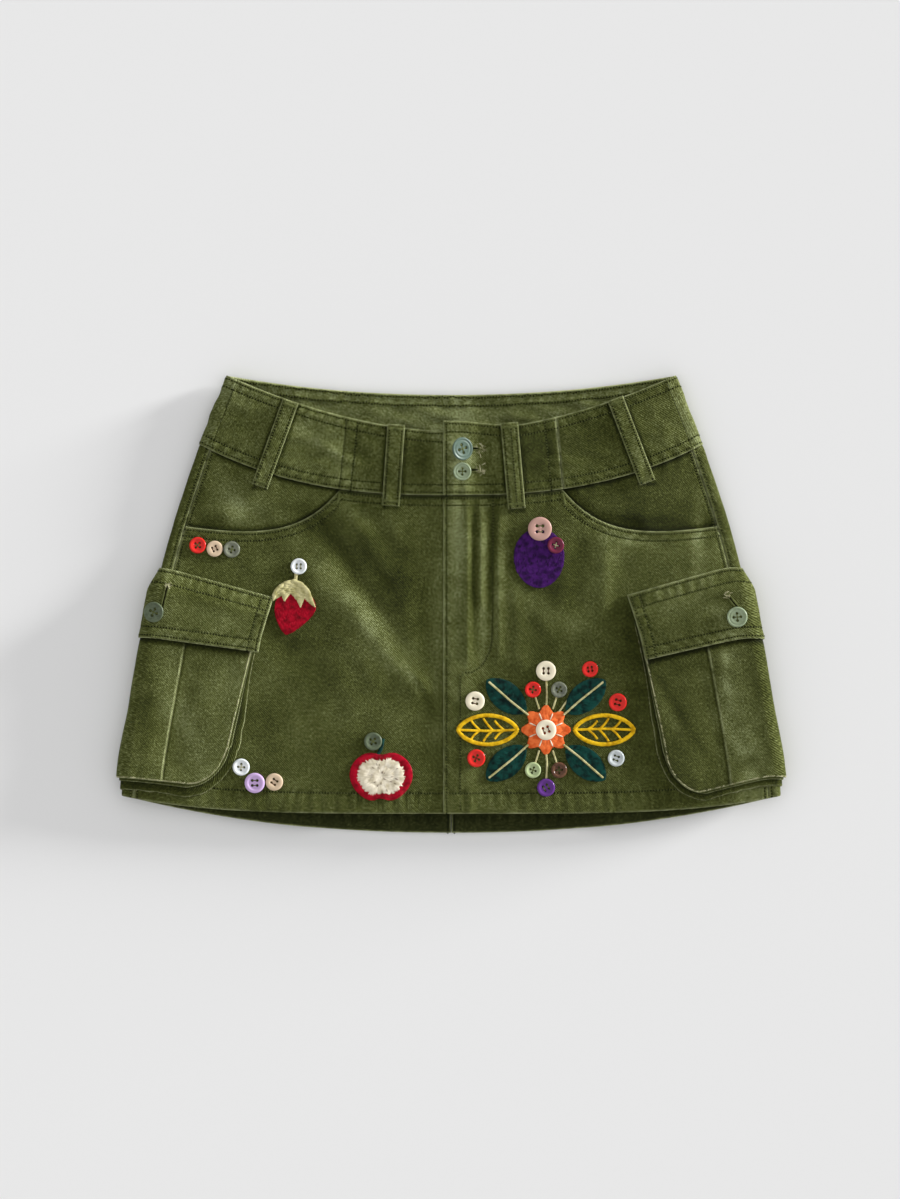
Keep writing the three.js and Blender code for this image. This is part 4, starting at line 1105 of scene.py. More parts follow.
band(
    "front_right",
    [CENTRE_EDGE, to_band_seam],
    -0.02,
    top=right_waist_y,
    raised=lambda u: BAND_RAISE * overlap(u),
    rows={"near": (SEAM_ROW,), "far": END_ROW},
)
band(
    "front_left",
    [-UNDERLAP, to_band_seam],
    0.14,
    side=-1,
    rows={"far": END_ROW},
    worn=("far", "top", "low"),
    rubbed_at=("top", "low"),
)
SIDE_EDGES = ("near", "top", "low")
for name, tone, rubbed_at in (("left", 0.24, ("top", "low")), ("right", -0.02, SIDE_EDGES)):
    sides = [from_band_seam, to_side_seam]
    band(f"side_{name}", sides, tone, side=SIDES[name], worn=SIDE_EDGES, rubbed_at=rubbed_at)
band(
    "back",
    [
        from_side_seam,
        *ROUND_FOLD,
        lambda u, y: girth(y) - flat_half(y) - FOLD_LONG - 0.5,
        lambda u, y: girth(y) - flat_half(y) + 0.5,
        lambda u, y: girth(y) - side_seam(y) - CLEAR,
    ],
    0.42,
    worn=("top", "low"),
)
print("the band has", len(bands), "pieces")

# %% [markdown]
# A loop leans from its lower end to its top end. Its ends are square to its length, and so are its own
# coordinates, so its wales turn with it as on a strip cut from one length of cloth.

# %% Belt loops
LOOP_ROWS = (2.0,)
BACK_LOOP = (164, 104)  # y of its top and of its lower end
LOOP_TONES = dict(zip(LOOPS, (0.12, 0.0, 0.16, 0.14)))
loops = {}


def belt_loop(name, middle, top, low, lean, tone):
    """A strip whose ends are square to its length. middle(y) is its centre line."""

    def square_end(at):
        return lambda u, y: at - (u - middle(at)) * lean

    loops[name] = weave(
        name,
        sides=[lambda u, y: middle(y) - LOOP_WIDTH / 2, lambda u, y: middle(y) + LOOP_WIDTH / 2],
        ends=[square_end(top), square_end(low)],
        outer=lambda u, y: LOOP_OUT + 0 * u,
        thick=LOOP_THICK,
        seams={"near": LOOP_ROWS, "far": LOOP_ROWS},
        start=top,
        spacing=1.8,
        own=lambda u, y, away: 0.25 * uneven(u, y, 9.0, 6) - 0.25,
    )
    finish_cloth(loops[name], tone=tone, rubbed=0.7, rests_on=["band_back"], tilted=True)


for name, (top_x, top_y, low_x, low_y) in LOOPS.items():
    lean = (top_x - low_x) / (top_y - low_y)
    belt_loop(
        name, lambda y, x=low_x, y0=low_y, k=lean: x + k * (y - y0), top_y, low_y, lean, LOOP_TONES[name]
    )
belt_loop("loop_back", lambda y: girth(y) / 2, *BACK_LOOP, 0, 0.0)
print("belt loops:", ", ".join(loops))

# %% [markdown]
# ## Cargo pockets
# Each side carries a pouch with two pleats, a bellows strip that lets it stand out, and a buttoned flap.
# They wrap the side fold, half on the front and half on the back. Here a is measured round the girth from
# the pocket's middle line, which lies a little forward of the fold.

# %% Pocket sizes
POCKETS = {  # shift is how far the middle line lies forward; half_top and half_low are the flap's half widths
    "left": SimpleNamespace(
        side=-1, shift=0, pouch_top=88, pouch_low=80.5, bottom=-135.2, tilt=0.11, corner=28, flap_top=28.5,
        top_slope=0.265, flap_low=-26, low_slope=0.136, half_top=97.3, half_low=92.1, bellows=8.5,
    ),
    "right": SimpleNamespace(
        side=1, shift=8, pouch_top=85, pouch_low=80.5, bottom=-134.5, tilt=0.25, corner=28, flap_top=28.9,
        top_slope=0.27, flap_low=-26.6, low_slope=0.222, half_top=90.5, half_low=84.3, bellows=6,
    ),
}
POUCH_OUT, PLEAT_HALF, PLEAT_RISE, PLEAT_STEP = 4.4, 33, 0.9, 0.8
POUCH_BELOW_FLAP = 20  # the pouch's top edge lies this far below the flap's
FLAP_THICK, FLAP_FOOT, FLAP_HIGH, FLAP_SLOPE = 1.6, 0.3, 5.65, 18
BELLOWS = SimpleNamespace(low=0.3, middle=1.55, high=2.8, tuck=10)  # heights, and how far it runs on inside
SOFTENING = 8  # rounds the point where slanting edges meet at the middle line
FOLD_REACH = FOLD_LONG / 2


def soft_reach(a):
    return np.hypot(a, SOFTENING) - SOFTENING


def pocket_middle(p, y):
    return flat_half(y) + FOLD_REACH - p.shift


def reach_of(p, u, y):
    return pocket_middle(p, y) - u


def flap_top_y(p, a):
    return p.flap_top - p.top_slope * soft_reach(a)


def flap_low_y(p, a):
    return p.flap_low - p.low_slope * soft_reach(a)


def pouch_top_y(p, a):
    return flap_top_y(p, a) - POUCH_BELOW_FLAP


def pouch_half(p, y):
    top = pouch_top_y(p, p.pouch_top)
    return mix(p.pouch_top, p.pouch_low, np.clip((top - y) / (top - p.bottom), 0, 1))


def pouch_low_y(p, a):
    flat = p.pouch_low - p.corner
    into = np.clip((np.abs(a) - flat) / p.corner, 0, 1)
    return p.bottom - p.tilt * np.minimum(soft_reach(a), flat) + p.corner * (1 - np.sqrt(1 - into**2))


def at_reach(p, a):
    return lambda u, y: pocket_middle(p, y) - a


def on_pocket(p, rule):
    """An end edge from a rule that gives y at each a."""
    return lambda u, y: rule(p, reach_of(p, u, y))


def beside_middle(p, half, way):
    """A side edge: half away from the middle line, towards the front (-1) or the back (1)."""
    return lambda u, y: pocket_middle(p, y) + way * half(p, y)


def over_fold(p):
    return [at_reach(p, FOLD_REACH - p.shift + 1), at_reach(p, -FOLD_REACH - p.shift - 1)]


print("pouch foot, left and right:", [round(float(pouch_low_y(p, 0.0)), 1) for p in POCKETS.values()])

# %% [markdown]
# A pouch is cut wider than it looks and folded into two pleats, so its middle stands higher. The pleats
# are pressed, and their edges rub pale. Close lines of the grid keep each step crisp.

# %% Pouches
PLEAT_END = PLEAT_HALF + PLEAT_STEP
POUCH_EDGES = ("near", "far", "low")
POUCH_TONE = {"left": 0.24, "right": -0.14}


def pleated(p):

    def outer(u, y):
        return POUCH_OUT + PLEAT_RISE * (1 - smooth(PLEAT_HALF, PLEAT_END, np.abs(reach_of(p, u, y))))

    return outer


def sagging(p):

    def own(u, y, away):
        a = reach_of(p, u, y)
        free = smooth(-34, -56, y) * smooth(0, 16, np.minimum(away["near"], away["low"]))
        return free * (-0.7 + 0.9 * uneven(p.side * u, y, 34.0, 7) - 0.5 * bell(a - 38, 9))

    return own


def pleat_wear_and_shade(p):
    """Rubs the pleats' edges pale, and paints shade in the fold beside them and under the flap's edge."""

    def tint(sheet):
        a = reach_of(p, p.side * sheet.u, sheet.y)
        from_pleat, below_flap = np.abs(a) - PLEAT_HALF, flap_low_y(p, a) - sheet.y
        patchy = 0.75 + 0.6 * uneven(sheet.u, sheet.y, 5.0, 4) + 0.5 * uneven(sheet.u, sheet.y, 24.0, 5)
        # painted shade beside each pleat's fold and in the flap's shadow
        dark = 0.7 * bell(from_pleat - 1.9, 0.9) + 1.3 * bell(below_flap - 0.5, 2.6)
        return 0.7 * bell(from_pleat - 0.2, 0.6) * patchy * smooth(1, 5, below_flap), -dark

    return tint


pouches = {}
for name, p in POCKETS.items():
    front_pleat = [at_reach(p, a) for a in (PLEAT_END + 0.8, PLEAT_END, PLEAT_HALF, PLEAT_HALF - 0.8)]
    back_pleat = [at_reach(p, -PLEAT_HALF), at_reach(p, -PLEAT_END)]
    near, far = (beside_middle(p, pouch_half, way) for way in (-1, 1))
    pouches[name] = weave(
        f"pouch_{name}",
        sides=[near, *front_pleat, *over_fold(p), *back_pleat, far],
        ends=[on_pocket(p, pouch_top_y), on_pocket(p, pouch_low_y)],
        outer=pleated(p),
        side=p.side,
        start=-60.0,
        own=sagging(p),
        worn=POUCH_EDGES,
        spacing=2.2,
    )
    rests_on, tint = [f"gusset_{name}"], pleat_wear_and_shade(p)
    finish_cloth(pouches[name], tone=POUCH_TONE[name], worn=POUCH_EDGES, rests_on=rests_on, tint=tint)

# %% [markdown]
# The bellows is one strip folded like a concertina: out over the panel, back under the pouch, out again and
# up to the pouch's edge. It is swept here as an open section along the pouch's outline, one grid for each
# pocket, so that both folds can be rubbed pale and the hollow between them painted dark as shade.

# %% Bellows of the pouches
BELLOWS_CLOTH = 0.45
BELLOWS_PITCH = 3.2
UPPER_FOLD, HOLLOW = 0.27, 0.1  # reach of the upper fold and of the hollow, as shares of the lower fold's
CORNER_STEPS, FOOT_STEPS = 16, 24
OPENED = (0.3, 1.1)  # how far it opens by the flap and at the corners


def pouch_path(p):
    """Places a and y along a pouch's edge, down its front side and up behind, and which way is out there."""
    flat = p.pouch_low - p.corner
    foot = pouch_low_y(p, flat)
    y = np.arange(pouch_top_y(p, p.pouch_top) - 1, foot + p.corner, -BELLOWS_PITCH)
    turn = np.linspace(math.pi / 2, 0, CORNER_STEPS)
    reach = np.linspace(flat, 0, FOOT_STEPS)[1:]
    side = np.stack([pouch_half(p, y), y], axis=1)
    corner = np.stack([flat + p.corner * np.sin(turn), foot + p.corner * (1 - np.cos(turn))], axis=1)
    half = np.concatenate([side, corner, np.stack([reach, pouch_low_y(p, reach)], axis=1)])
    path = np.concatenate([half, half[-2::-1] * (-1, 1)])
    ahead = np.gradient(path, axis=0)
    out = np.stack([-ahead[:, 1], ahead[:, 0]], axis=1)
    out[np.abs(path[:, 0]) <= flat] = (0, -1)
    return path, unit_vectors(out)


def concertina(reach):
    """Reach beyond the pouch's edge and height off the panel, and where on it the two folds are."""
    low, middle, high, tuck = BELLOWS.low, BELLOWS.middle, BELLOWS.high, BELLOWS.tuck
    upper, hollow = UPPER_FOLD * reach, HOLLOW * reach
    folded = [(-tuck, low), (reach / 2, low), (reach - 0.8, low), (reach - 0.2, low + 0.2)]
    folded += [(reach, low + 0.55), (reach - 0.2, low + 0.95), (reach - 0.9, middle - 0.1)]
    folded += [(hollow + 0.6, middle - 0.05), (hollow, middle), (hollow + 0.4, middle + 0.1)]
    folded += [(upper - 0.6, middle + 0.2), (upper, high - 0.45), (upper - 0.25, high - 0.1)]
    folded += [(upper - 0.8, high), (0, high), (-tuck, high)]
    return np.array(folded), (4, 11)


def bellows_strip(name, p):
    path, out = pouch_path(p)
    folded, folds = concertina(p.bellows)
    beyond, height = folded[:, :1], folded[:, 1:]
    far, down = far_along(path), far_along(folded)
    buckled_reach = 1 + 0.16 * uneven(far, 5.0, 26.0, 11) + 0.08 * uneven(far, 2.0, 8.0, 12)
    opened = mix(*OPENED, smooth(-40, -118, path[:, 1]))
    reach = beyond * np.where(beyond > 0, buckled_reach * opened, 1)
    a = path[:, 0] + out[:, 0] * reach
    y = path[:, 1] + out[:, 1] * reach
    u = p.side * (pocket_middle(p, y) - a)
    points = surface(u, y, height + 0 * u)
    normals = normals_of(points)
    above = surface(u[-1], y[-1], height[-1] + 1.0) - points[-1]
    if np.sum(normals[-1] * above) < 0:
        normals = -normals
    from_fold = np.min([np.abs(down - down[fold]) for fold in folds], axis=0)[:, None] + 0 * u
    halfway_up = np.abs(height - BELLOWS.middle) < 0.3
    # painted shade: the hollow halfway up is darkened through the groove's tone
    hollow = bell(beyond - HOLLOW * p.bellows, 1.5) * halfway_up
    return SimpleNamespace(
        name=name, u=far + 0 * u, y=down[:, None] + 0 * u, bare=points, points=points, normals=normals,
        thick=BELLOWS_CLOTH, away={"fold": from_fold}, drop=0 * u, groove=hollow + 0 * u, puckers=0 * u,
    )


strips = {}
for name, p in POCKETS.items():
    strips[name] = strip = bellows_strip(f"gusset_{name}", p)
    finish_cloth(strip, tone=-0.2, rubbed=0.75, worn=("fold",), rests_on=[f"front_{name}", f"back_{name}"])

# %% [markdown]
# A flap is two layers turned out and topstitched twice all round, so it is stiff. It is sewn to the panel
# along its top edge and climbs over the pouch's bulk. Its free edge buckles a little.

# %% Flaps
FLAP_TONE = {"left": 0.22, "right": 0.02}
FLAP_ROWS = {"near": (2.4, 8.8), "far": (2.4, 8.8), "top": (2.4, 11.0), "low": (2.4, 9.0)}


def flap_inner(p):
    return lambda u, y: mix(FLAP_FOOT, FLAP_HIGH, smooth(0, FLAP_SLOPE, flap_top_y(p, reach_of(p, u, y)) - y))


def flap_half(p, y):
    return mix(p.half_top, p.half_low, np.clip((p.flap_top - y) / (p.flap_top - p.flap_low), 0, 1))


def buckled(u, y, away):
    waves = uneven(u, y, 9.0, 8) * bell(np.minimum(away["near"], away["low"]), 9)
    return 0.3 * waves + 0.35 * uneven(u, y, 30.0, 1) - 0.2


flaps = {}
for name, p in POCKETS.items():
    near, far = (beside_middle(p, flap_half, way) for way in (-1, 1))
    flaps[name] = weave(
        f"flap_{name}",
        sides=[near, *over_fold(p), far],
        ends=[on_pocket(p, flap_top_y), on_pocket(p, flap_low_y)],
        outer=lambda u, y, p=p: flap_inner(p)(u, y) + FLAP_THICK,
        thick=FLAP_THICK,
        seams=FLAP_ROWS,
        side=p.side,
        own=buckled,
        spacing=2.0,
    )
    finish_cloth(flaps[name], tone=FLAP_TONE[name], rubbed=1.1, rests_on=[f"pouch_{name}"])

# %% [markdown]
# ## Rows of stitches
# A lockstitch dips into the cloth at both ends, so a row is a chain of short grains with a dark disc after
# each one, painted shade for its needle hole. There are thousands of them. One grain and one hole are shaped
# once, then copied along every row by arrays into a few meshes, which is far quicker than an object for each.

# %% One grain of thread and one needle hole
PITCH = 2.3  # one stitch with its hole, as on the real skirt
GRAIN_LONG, GRAIN_WIDE, GRAIN_HIGH = 1.2, 0.8, 0.5
HOLE_LONG, HOLE_WIDE = 1.7, 1.3
END_FULLNESS, END_SPREAD = 0.3, 0.45  # a grain stays nearly as thick up to its ends, then dips
END_DIP = 0.3


def unit_of(shape):
    shape.verts.index_update()
    faces = [[corner.index for corner in face.verts] for face in shape.faces]
    unit = SimpleNamespace(
        corners=np.array([corner.co for corner in shape.verts]),
        loops=np.concatenate(faces),
        sizes=np.array([len(face) for face in faces]),
    )
    shape.free()
    return unit


def grain():
    """A short piece of thread along x, one long, one wide and one high, with ends that dip into the cloth."""
    shape = bmesh.new()
    bmesh.ops.create_uvsphere(shape, u_segments=6, v_segments=4, radius=0.5)
    bmesh.ops.rotate(shape, verts=shape.verts, matrix=Matrix.Rotation(math.pi / 2, 3, "Y"))
    for corner in shape.verts:
        far = min(1.0, abs(corner.co.x) * 2)
        round_share = math.sqrt(max(1 - far * far, 0))
        fuller = (round_share**END_FULLNESS / round_share) if round_share > 1e-3 else 1
        x = math.copysign(0.5 * far**END_SPREAD, corner.co.x) if far else 0
        corner.co = (x, corner.co.y * fuller, corner.co.z * fuller)
        corner.co.z -= END_DIP * far**4
    return unit_of(shape)


# a flat dark disc: painted shade where the needle went through the cloth
def hole():
    shape = bmesh.new()
    bmesh.ops.create_cone(shape, cap_ends=True, segments=6, radius1=0.5, radius2=0.42, depth=0.1)
    return unit_of(shape)


GRAIN, HOLE = grain(), hole()
print("a grain has", len(GRAIN.sizes), "faces, a needle hole", len(HOLE.sizes))

# %% [markdown]
# A batch says where the copies of one unit lie: their places, and the unit's own axes there, stretched to
# its size. A piece joins many batches into one mesh. Rows follow the lines of points woven into the
# sheets, and free rows follow lines drawn on the tube. The machine's unevenness comes from small random
# shifts.

# %% Copy units into a piece


def copies(unit, places, along, up, size, material=0):
    """Where copies of a unit lie: size is their length, width and height, one row each or one for all."""
    size = np.broadcast_to(np.asarray(size, float), (len(places), 3))
    along = unit_vectors(along - up * np.sum(along * up, axis=1, keepdims=True))
    axes = np.stack([along, np.cross(up, along), up], axis=1) * size[:, :, None]
    return SimpleNamespace(unit=unit, places=places, axes=axes, material=material)


def joined(name, batches, materials, replaced=()):
    corners, loops, sizes, kinds, count = [], [], [], [], 0
    for batch in batches:
        unit, number = batch.unit, len(batch.places)
        corners.append((unit.corners @ batch.axes + batch.places[:, None]).reshape(-1, 3))
        loops.append((unit.loops + count + len(unit.corners) * np.arange(number)[:, None]).ravel())
        sizes.append(np.tile(unit.sizes, number))
        kinds.append(np.full(len(unit.sizes) * number, batch.material))
        count += len(unit.corners) * number
    corners, loops, sizes, kinds = (np.concatenate(part) for part in (corners, loops, sizes, kinds))
    mesh = bpy.data.meshes.new(name)
    mesh.vertices.add(len(corners))
    mesh.vertices.foreach_set("co", ((corners + ORIGIN) * MM).ravel())
    mesh.loops.add(len(loops))
    mesh.loops.foreach_set("vertex_index", loops)
    mesh.polygons.add(len(sizes))
    mesh.polygons.foreach_set("loop_start", np.concatenate([[0], np.cumsum(sizes)[:-1]]))
    mesh.polygons.foreach_set("material_index", kinds)
    mesh.update(calc_edges=True)
    piece = as_piece(name, mesh, materials, replaced)
    print(f"{name}: {sum(len(batch.places) for batch in batches)} copies, {int((sizes - 2).sum())} triangles")
    return piece


def laid_on(u, y, d):
    """Points that stand d off the tube's cloth and the direction straight away from the cloth there."""
    points = surface(u, y, d)
    across_it = surface(u + 0.4, y, d) - surface(u - 0.4, y, d)
    up_it = surface(u, y + 0.4, d) - surface(u, y - 0.4, d)
    return points, unit_vectors(np.cross(across_it, up_it))


# %% [markdown]
# Rows of stitches, bars, frayed ends and buttonholes are all lines of grains. They differ only in how the
# grains lie to the line: along it in a row, across it in a bar, and anyhow where thread has frayed.

# %% Stitches along lines
LOOK_AHEAD = 0.3  # the way ahead at a place is measured this far before and after it
ROW_LIFT = 0.2  # how high off the cloth's points a row lies
END_TRIM = 0.6  # rows stop this far from the ends of their lines
BAR_PITCH, BAR_THREAD, BAR_HIGH = 0.55, 0.62, 0.55
FRAYED = (3.0, 0.45, 0.4)  # length, width and height of a loose end


def spaced(points, normals, pitch, trim=0.0):
    """Places every pitch along a line of points, with the way ahead and the way up at each."""
    far = far_along(points)
    at = np.arange(trim + pitch / 2, far[-1] - trim, pitch)
    ahead = at_distances(at + LOOK_AHEAD, far, points) - at_distances(at - LOOK_AHEAD, far, points)
    return at_distances(at, far, points), unit_vectors(ahead), unit_vectors(at_distances(at, far, normals))


def row_of_stitches(points, normals, trim=0.0):
    """The grains of one row and the dark discs of painted shade at its needle holes, a little uneven in
    length and in aim, as from a real machine.
    """
    place, along, up = spaced(points, normals, PITCH, trim)
    side = np.cross(up, along)
    aim = along + side * rng.normal(0, 0.07, (len(place), 1))
    place = place + side * rng.normal(0, 0.06, (len(place), 1))
    size = np.array([GRAIN_LONG, GRAIN_WIDE, GRAIN_HIGH]) * rng.uniform(0.88, 1.1, (len(place), 1))
    thread = copies(GRAIN, place + up * ROW_LIFT, aim, up, size, 0)
    # dark discs: painted shade in each needle hole
    holes = copies(HOLE, place + along * PITCH / 2 + up * ROW_LIFT, along, up, (HOLE_LONG, HOLE_WIDE, 1), 1)
    return [thread, holes]


def rows_along(sheet, edges=EDGES, bottom=False):
    """Stitches in every row woven into a sheet. bottom sews its inner face, which shows at the back."""
    points, normals = sheet.points, sheet.normals
    if bottom:
        points, normals = points - normals * (sheet.thick - sheet.drop)[..., None], -normals
    batches = []
    for edge in edges:
        for index in sheet.sewn[edge].values():
            line = (slice(None), index) if edge in ("near", "far") else (index, slice(None))
            batches += row_of_stitches(points[line], normals[line], END_TRIM)
    return batches


def dense(knots, steps=24):
    knots = np.array(knots, float)
    if len(knots) == 2:
        return np.linspace(knots[0], knots[1], steps)
    padded = np.concatenate([2 * knots[:1] - knots[1:2], knots, 2 * knots[-1:] - knots[-2:-1]])
    t = np.linspace(0, 1, steps, endpoint=False)[:, None]
    parts = []
    for before, first, last, after in zip(padded, padded[1:], padded[2:], padded[3:]):
        cubic = 3 * (first - last) + after - before
        square = 2 * before - 5 * first + 4 * last - after
        parts.append(first + 0.5 * t * (last - before + t * (square + t * cubic)))
    return np.concatenate([*parts, knots[-1:]])


def free_row(knots, d):
    """A row of stitches along a line of its own. d gives the height of the cloth it is sewn through."""
    line = dense(knots)
    return row_of_stitches(*laid_on(*line.T, d(*line.T)))


def satin_bar(knots, d, wide, lift=0.1):
    line = dense(knots)
    place, along, up = spaced(*laid_on(*line.T, d(*line.T)), BAR_PITCH)
    size = np.array([wide, BAR_THREAD, BAR_HIGH]) * rng.uniform(0.85, 1.1, (len(place), 1))
    across_bar = np.cross(up, along) + along * rng.normal(0, 0.08, (len(place), 1))
    return [copies(GRAIN, place + up * lift, across_bar, up, size)]


def frays(at, d, count, spread):
    u, y = (np.array(at) + rng.normal(0, 1, (count, 2)) * spread).T
    place, up = laid_on(u, y, d(u, y) + 0.4)[:2]
    aim = np.concatenate([rng.normal(0, 1, (count, 2)), np.zeros((count, 1))], axis=1)
    size = np.array(FRAYED) * rng.uniform(0.5, 1.3, (count, 1))
    return [copies(GRAIN, place, aim, up, size, 2)]


def buttonhole(first, last, d):
    first, last = np.array(first), np.array(last)
    ahead = (last - first) / np.linalg.norm(last - first)
    aside = np.array([-ahead[1], ahead[0]]) * 1.15
    made = satin_bar((first + aside, last + aside), d, 1.5) + satin_bar((first - aside, last - aside), d, 1.5)
    made += satin_bar((last - aside * 1.3, last + aside * 1.3), d, 2.0, lift=0.3)
    place, up = laid_on(*((first + last) / 2)[:, None], d(*((first + last) / 2)[:, None]) + 0.12)[:2]
    # the slit: a dark grain in the needle holes' material, painted shade in the cut
    slit = copies(GRAIN, place, np.append(ahead, 0)[None], up, (np.linalg.norm(last - first), 1.3, 0.4), 1)
    return [*made, slit, *frays(last, d, 12, 1.3)]


def on_front(u, y=0):
    return FRONT_RAISE * overlap(u)


def on_band(u, y):
    return BAND_OUT + BAND_RAISE * overlap(u)


SEWING = [topstitch, painted_hole_shade, pale_thread]
print("stitches every", PITCH, "mm")

# %% [markdown]
# The panels are sewn along every row that was woven into them. The fly has a curved line of its own. Short
# bars hold what takes strain: the fly's foot and the inner ends of the pocket mouths.

# %% Sew the panels
FLY_BAR = ((-6.0, -41), (9.0, -41.5))
FLY_CURVE = ((9.0, -53.5), (17.0, -52.5), (25.5, -46), (31.0, -33), (32.4, -12), (32.6, 30), (32.8, 82))
BELOW_FLY = ((7.2, -54), (7.2, -160))
panel_rows = []
for name in ("right", "left"):
    panel_rows += rows_along(fronts[name]) + rows_along(backs[name]) + rows_along(facings[name])
panel_rows += free_row(FLY_CURVE, on_front) + free_row(BELOW_FLY, on_front)
panel_rows += satin_bar(FLY_BAR, on_front, 1.9) + satin_bar(((9.6, -52), (10.4, -56)), on_front, 1.8)
for side in (-1, 1):
    ends = [(side * x, float(scoop_y(x)) - below) for x, below in ((SCOOP.start, 3), (SCOOP.start + 2, 9))]
    panel_rows += satin_bar(ends, on_front, 1.8)
joined("panel_stitches", panel_rows, SEWING)

# %% [markdown]
# The band's four lines of stitching show inside at the back too. Each loop is tacked by a bar of close
# stitches at both ends, and one is sewn with a middle row as well. The two buttonholes have frayed at
# their outer ends.

# %% Sew the waistband and the loops
LOOP_BAR = SimpleNamespace(wide=2.2, lift=0.12, trim=1.4)
band_rows = []
for sheet in bands.values():
    band_rows += rows_along(sheet)
band_rows += rows_along(bands["back"], edges=("top", "low"), bottom=True)
for sheet in loops.values():
    band_rows += rows_along(sheet)
    for index in (3, -4):
        place, along, up = spaced(sheet.points[index], sheet.normals[index], BAR_PITCH, LOOP_BAR.trim)
        size = np.array([LOOP_BAR.wide, BAR_THREAD, BAR_HIGH]) * rng.uniform(0.85, 1.1, (len(place), 1))
        band_rows.append(copies(GRAIN, place + up * LOOP_BAR.lift, np.cross(up, along), up, size))
sheet = loops["loop_right_inner"]
middle_column = sheet.points.shape[1] // 2
band_rows += row_of_stitches(sheet.points[:, middle_column], sheet.normals[:, middle_column], 1.0)
for y in (121.5, 104.8):
    band_rows += buttonhole((9, y - 0.3), (21.5, y), on_band)
band_rows += frays((24, 119), on_band, 10, 2.0) + frays((24.5, 104), on_band, 10, 2.0)
joined("waistband_stitches", band_rows, SEWING)

# %% [markdown]
# The pouches and their bellows are overcast along the edge with a coarse pale thread that the wash has
# broken, so a share of its stitches is left out at random.

# %% Sew the pockets
FLAP_HOLES = {"left": ((-224.5, -2), (-220.5, 14.5)), "right": ((223, -3), (214.5, 7.5))}
ROPED = 1.5  # overcasting round the pouches and their bellows, which the wash has broken up


def on_flap(p):
    return lambda u, y: flap_inner(p)(p.side * u, y) + FLAP_THICK


def overcast(points, normals, kept):
    """Slanting pale stitches over an edge. kept is the share of them that has not worn away."""
    place, along, up = spaced(points, normals, ROPED)
    slant = along + np.cross(up, along) * rng.uniform(0.3, 0.9, (len(place), 1))
    size = np.array([1.9, 0.6, 0.5]) * rng.uniform(0.7, 1.15, (len(place), 1))
    left = rng.uniform(0, 1, len(place)) < kept
    return [copies(GRAIN, place[left], slant[left], up[left], size[left], 2)]


pocket_rows = []
for name, p in POCKETS.items():
    pocket_rows += rows_along(flaps[name])
    pocket_rows += buttonhole(*FLAP_HOLES[name], on_flap(p))
    pocket_rows += satin_bar([(p.side * 151.5, -6.5), (p.side * 144.5, -9)], on_flap(p), 1.8, lift=0.3)
    sheet = pouches[name]
    for line in ((slice(None), 1), (slice(None), -2), (-2, slice(None))):
        pocket_rows += overcast(sheet.points[line], sheet.normals[line], 0.75)
    strip = strips[name]
    pocket_rows += overcast(strip.points[3], strip.normals[3], 0.6)
joined("pocket_stitches", pocket_rows, SEWING)

# %% [markdown]
# ## Embroidery
# The motifs are worked by machine in rayon thread. Small shapes are laid with satin stitches that run from
# edge to edge, and wide ones with long and short stitches, whose ends interlock and leave the ragged rows
# that the eye reads as hand work. Under them lies a thin padding of the same thread. Real thread is 0.4 mm
# thick; here it is drawn 0.9 mm wide so that single stitches still show from a step away.

# %% Thread and its padding
THREAD_WIDE, THREAD_HIGH, THREAD_PITCH = 0.95, 0.55, 0.72
THREAD_ENDS = 0.5  # what the two dipping ends add to a stitch
CORD_PITCH, CORD_THREAD, CORD_HIGH = 0.6, 0.85, 1.1
PAD_LOW, PAD_HIGH, THREAD_AT = 0.12, 0.85, 0.95
SMALLEST = 0.004  # corners of a padding closer than this are one corner


def turned_by(points, degrees):
    c, s = math.cos(math.radians(degrees)), math.sin(math.radians(degrees))
    return points @ np.array([[c, s], [-s, c]])


def outline_of(rule, steps=96):
    """Points round a motif. rule gives x and y from its middle at each angle."""
    angle = np.linspace(0, 2 * math.pi, steps, endpoint=False)
    return np.stack(rule(np.cos(angle), np.sin(angle), angle), axis=1)


def padding(middle, outline, inner=0.0, high=PAD_HIGH):
    """A thin closed cushion below the stitches, from an inner share of the outline out to it."""
    if inner:
        shoulder = high * 0.7
        profile = [(inner, PAD_LOW), (inner, shoulder), (mix(inner, 1, 0.5), high)]
        profile += [(1, shoulder), (1, PAD_LOW), (inner, PAD_LOW)]
    else:
        profile = [(0, high), (0.4, high), (0.75, high), (0.92, high * 0.9), (1, high * 0.55)]
        profile += [(1, PAD_LOW), (0.6, PAD_LOW), (0, PAD_LOW)]
    steps, turns = len(profile) - 1, len(outline)
    loop = np.concatenate([outline, outline[:1]])
    shape = bmesh.new()
    bmesh.ops.create_grid(shape, x_segments=steps, y_segments=turns, size=0.5)
    spots = [(round((c.co.x + 0.5) * steps), round((c.co.y + 0.5) * turns)) for c in shape.verts]
    share, height = np.array([profile[i] for i, _ in spots]).T
    x, y = (middle + share[:, None] * loop[[j for _, j in spots]]).T
    for corner, place in zip(shape.verts, surface(x, y, height + on_front(x))):
        corner.co = place
    bmesh.ops.remove_doubles(shape, verts=shape.verts, dist=SMALLEST)
    bmesh.ops.recalc_face_normals(shape, faces=shape.faces)
    return SimpleNamespace(unit=unit_of(shape), places=np.zeros((1, 3)), axes=np.eye(3)[None], material=0)


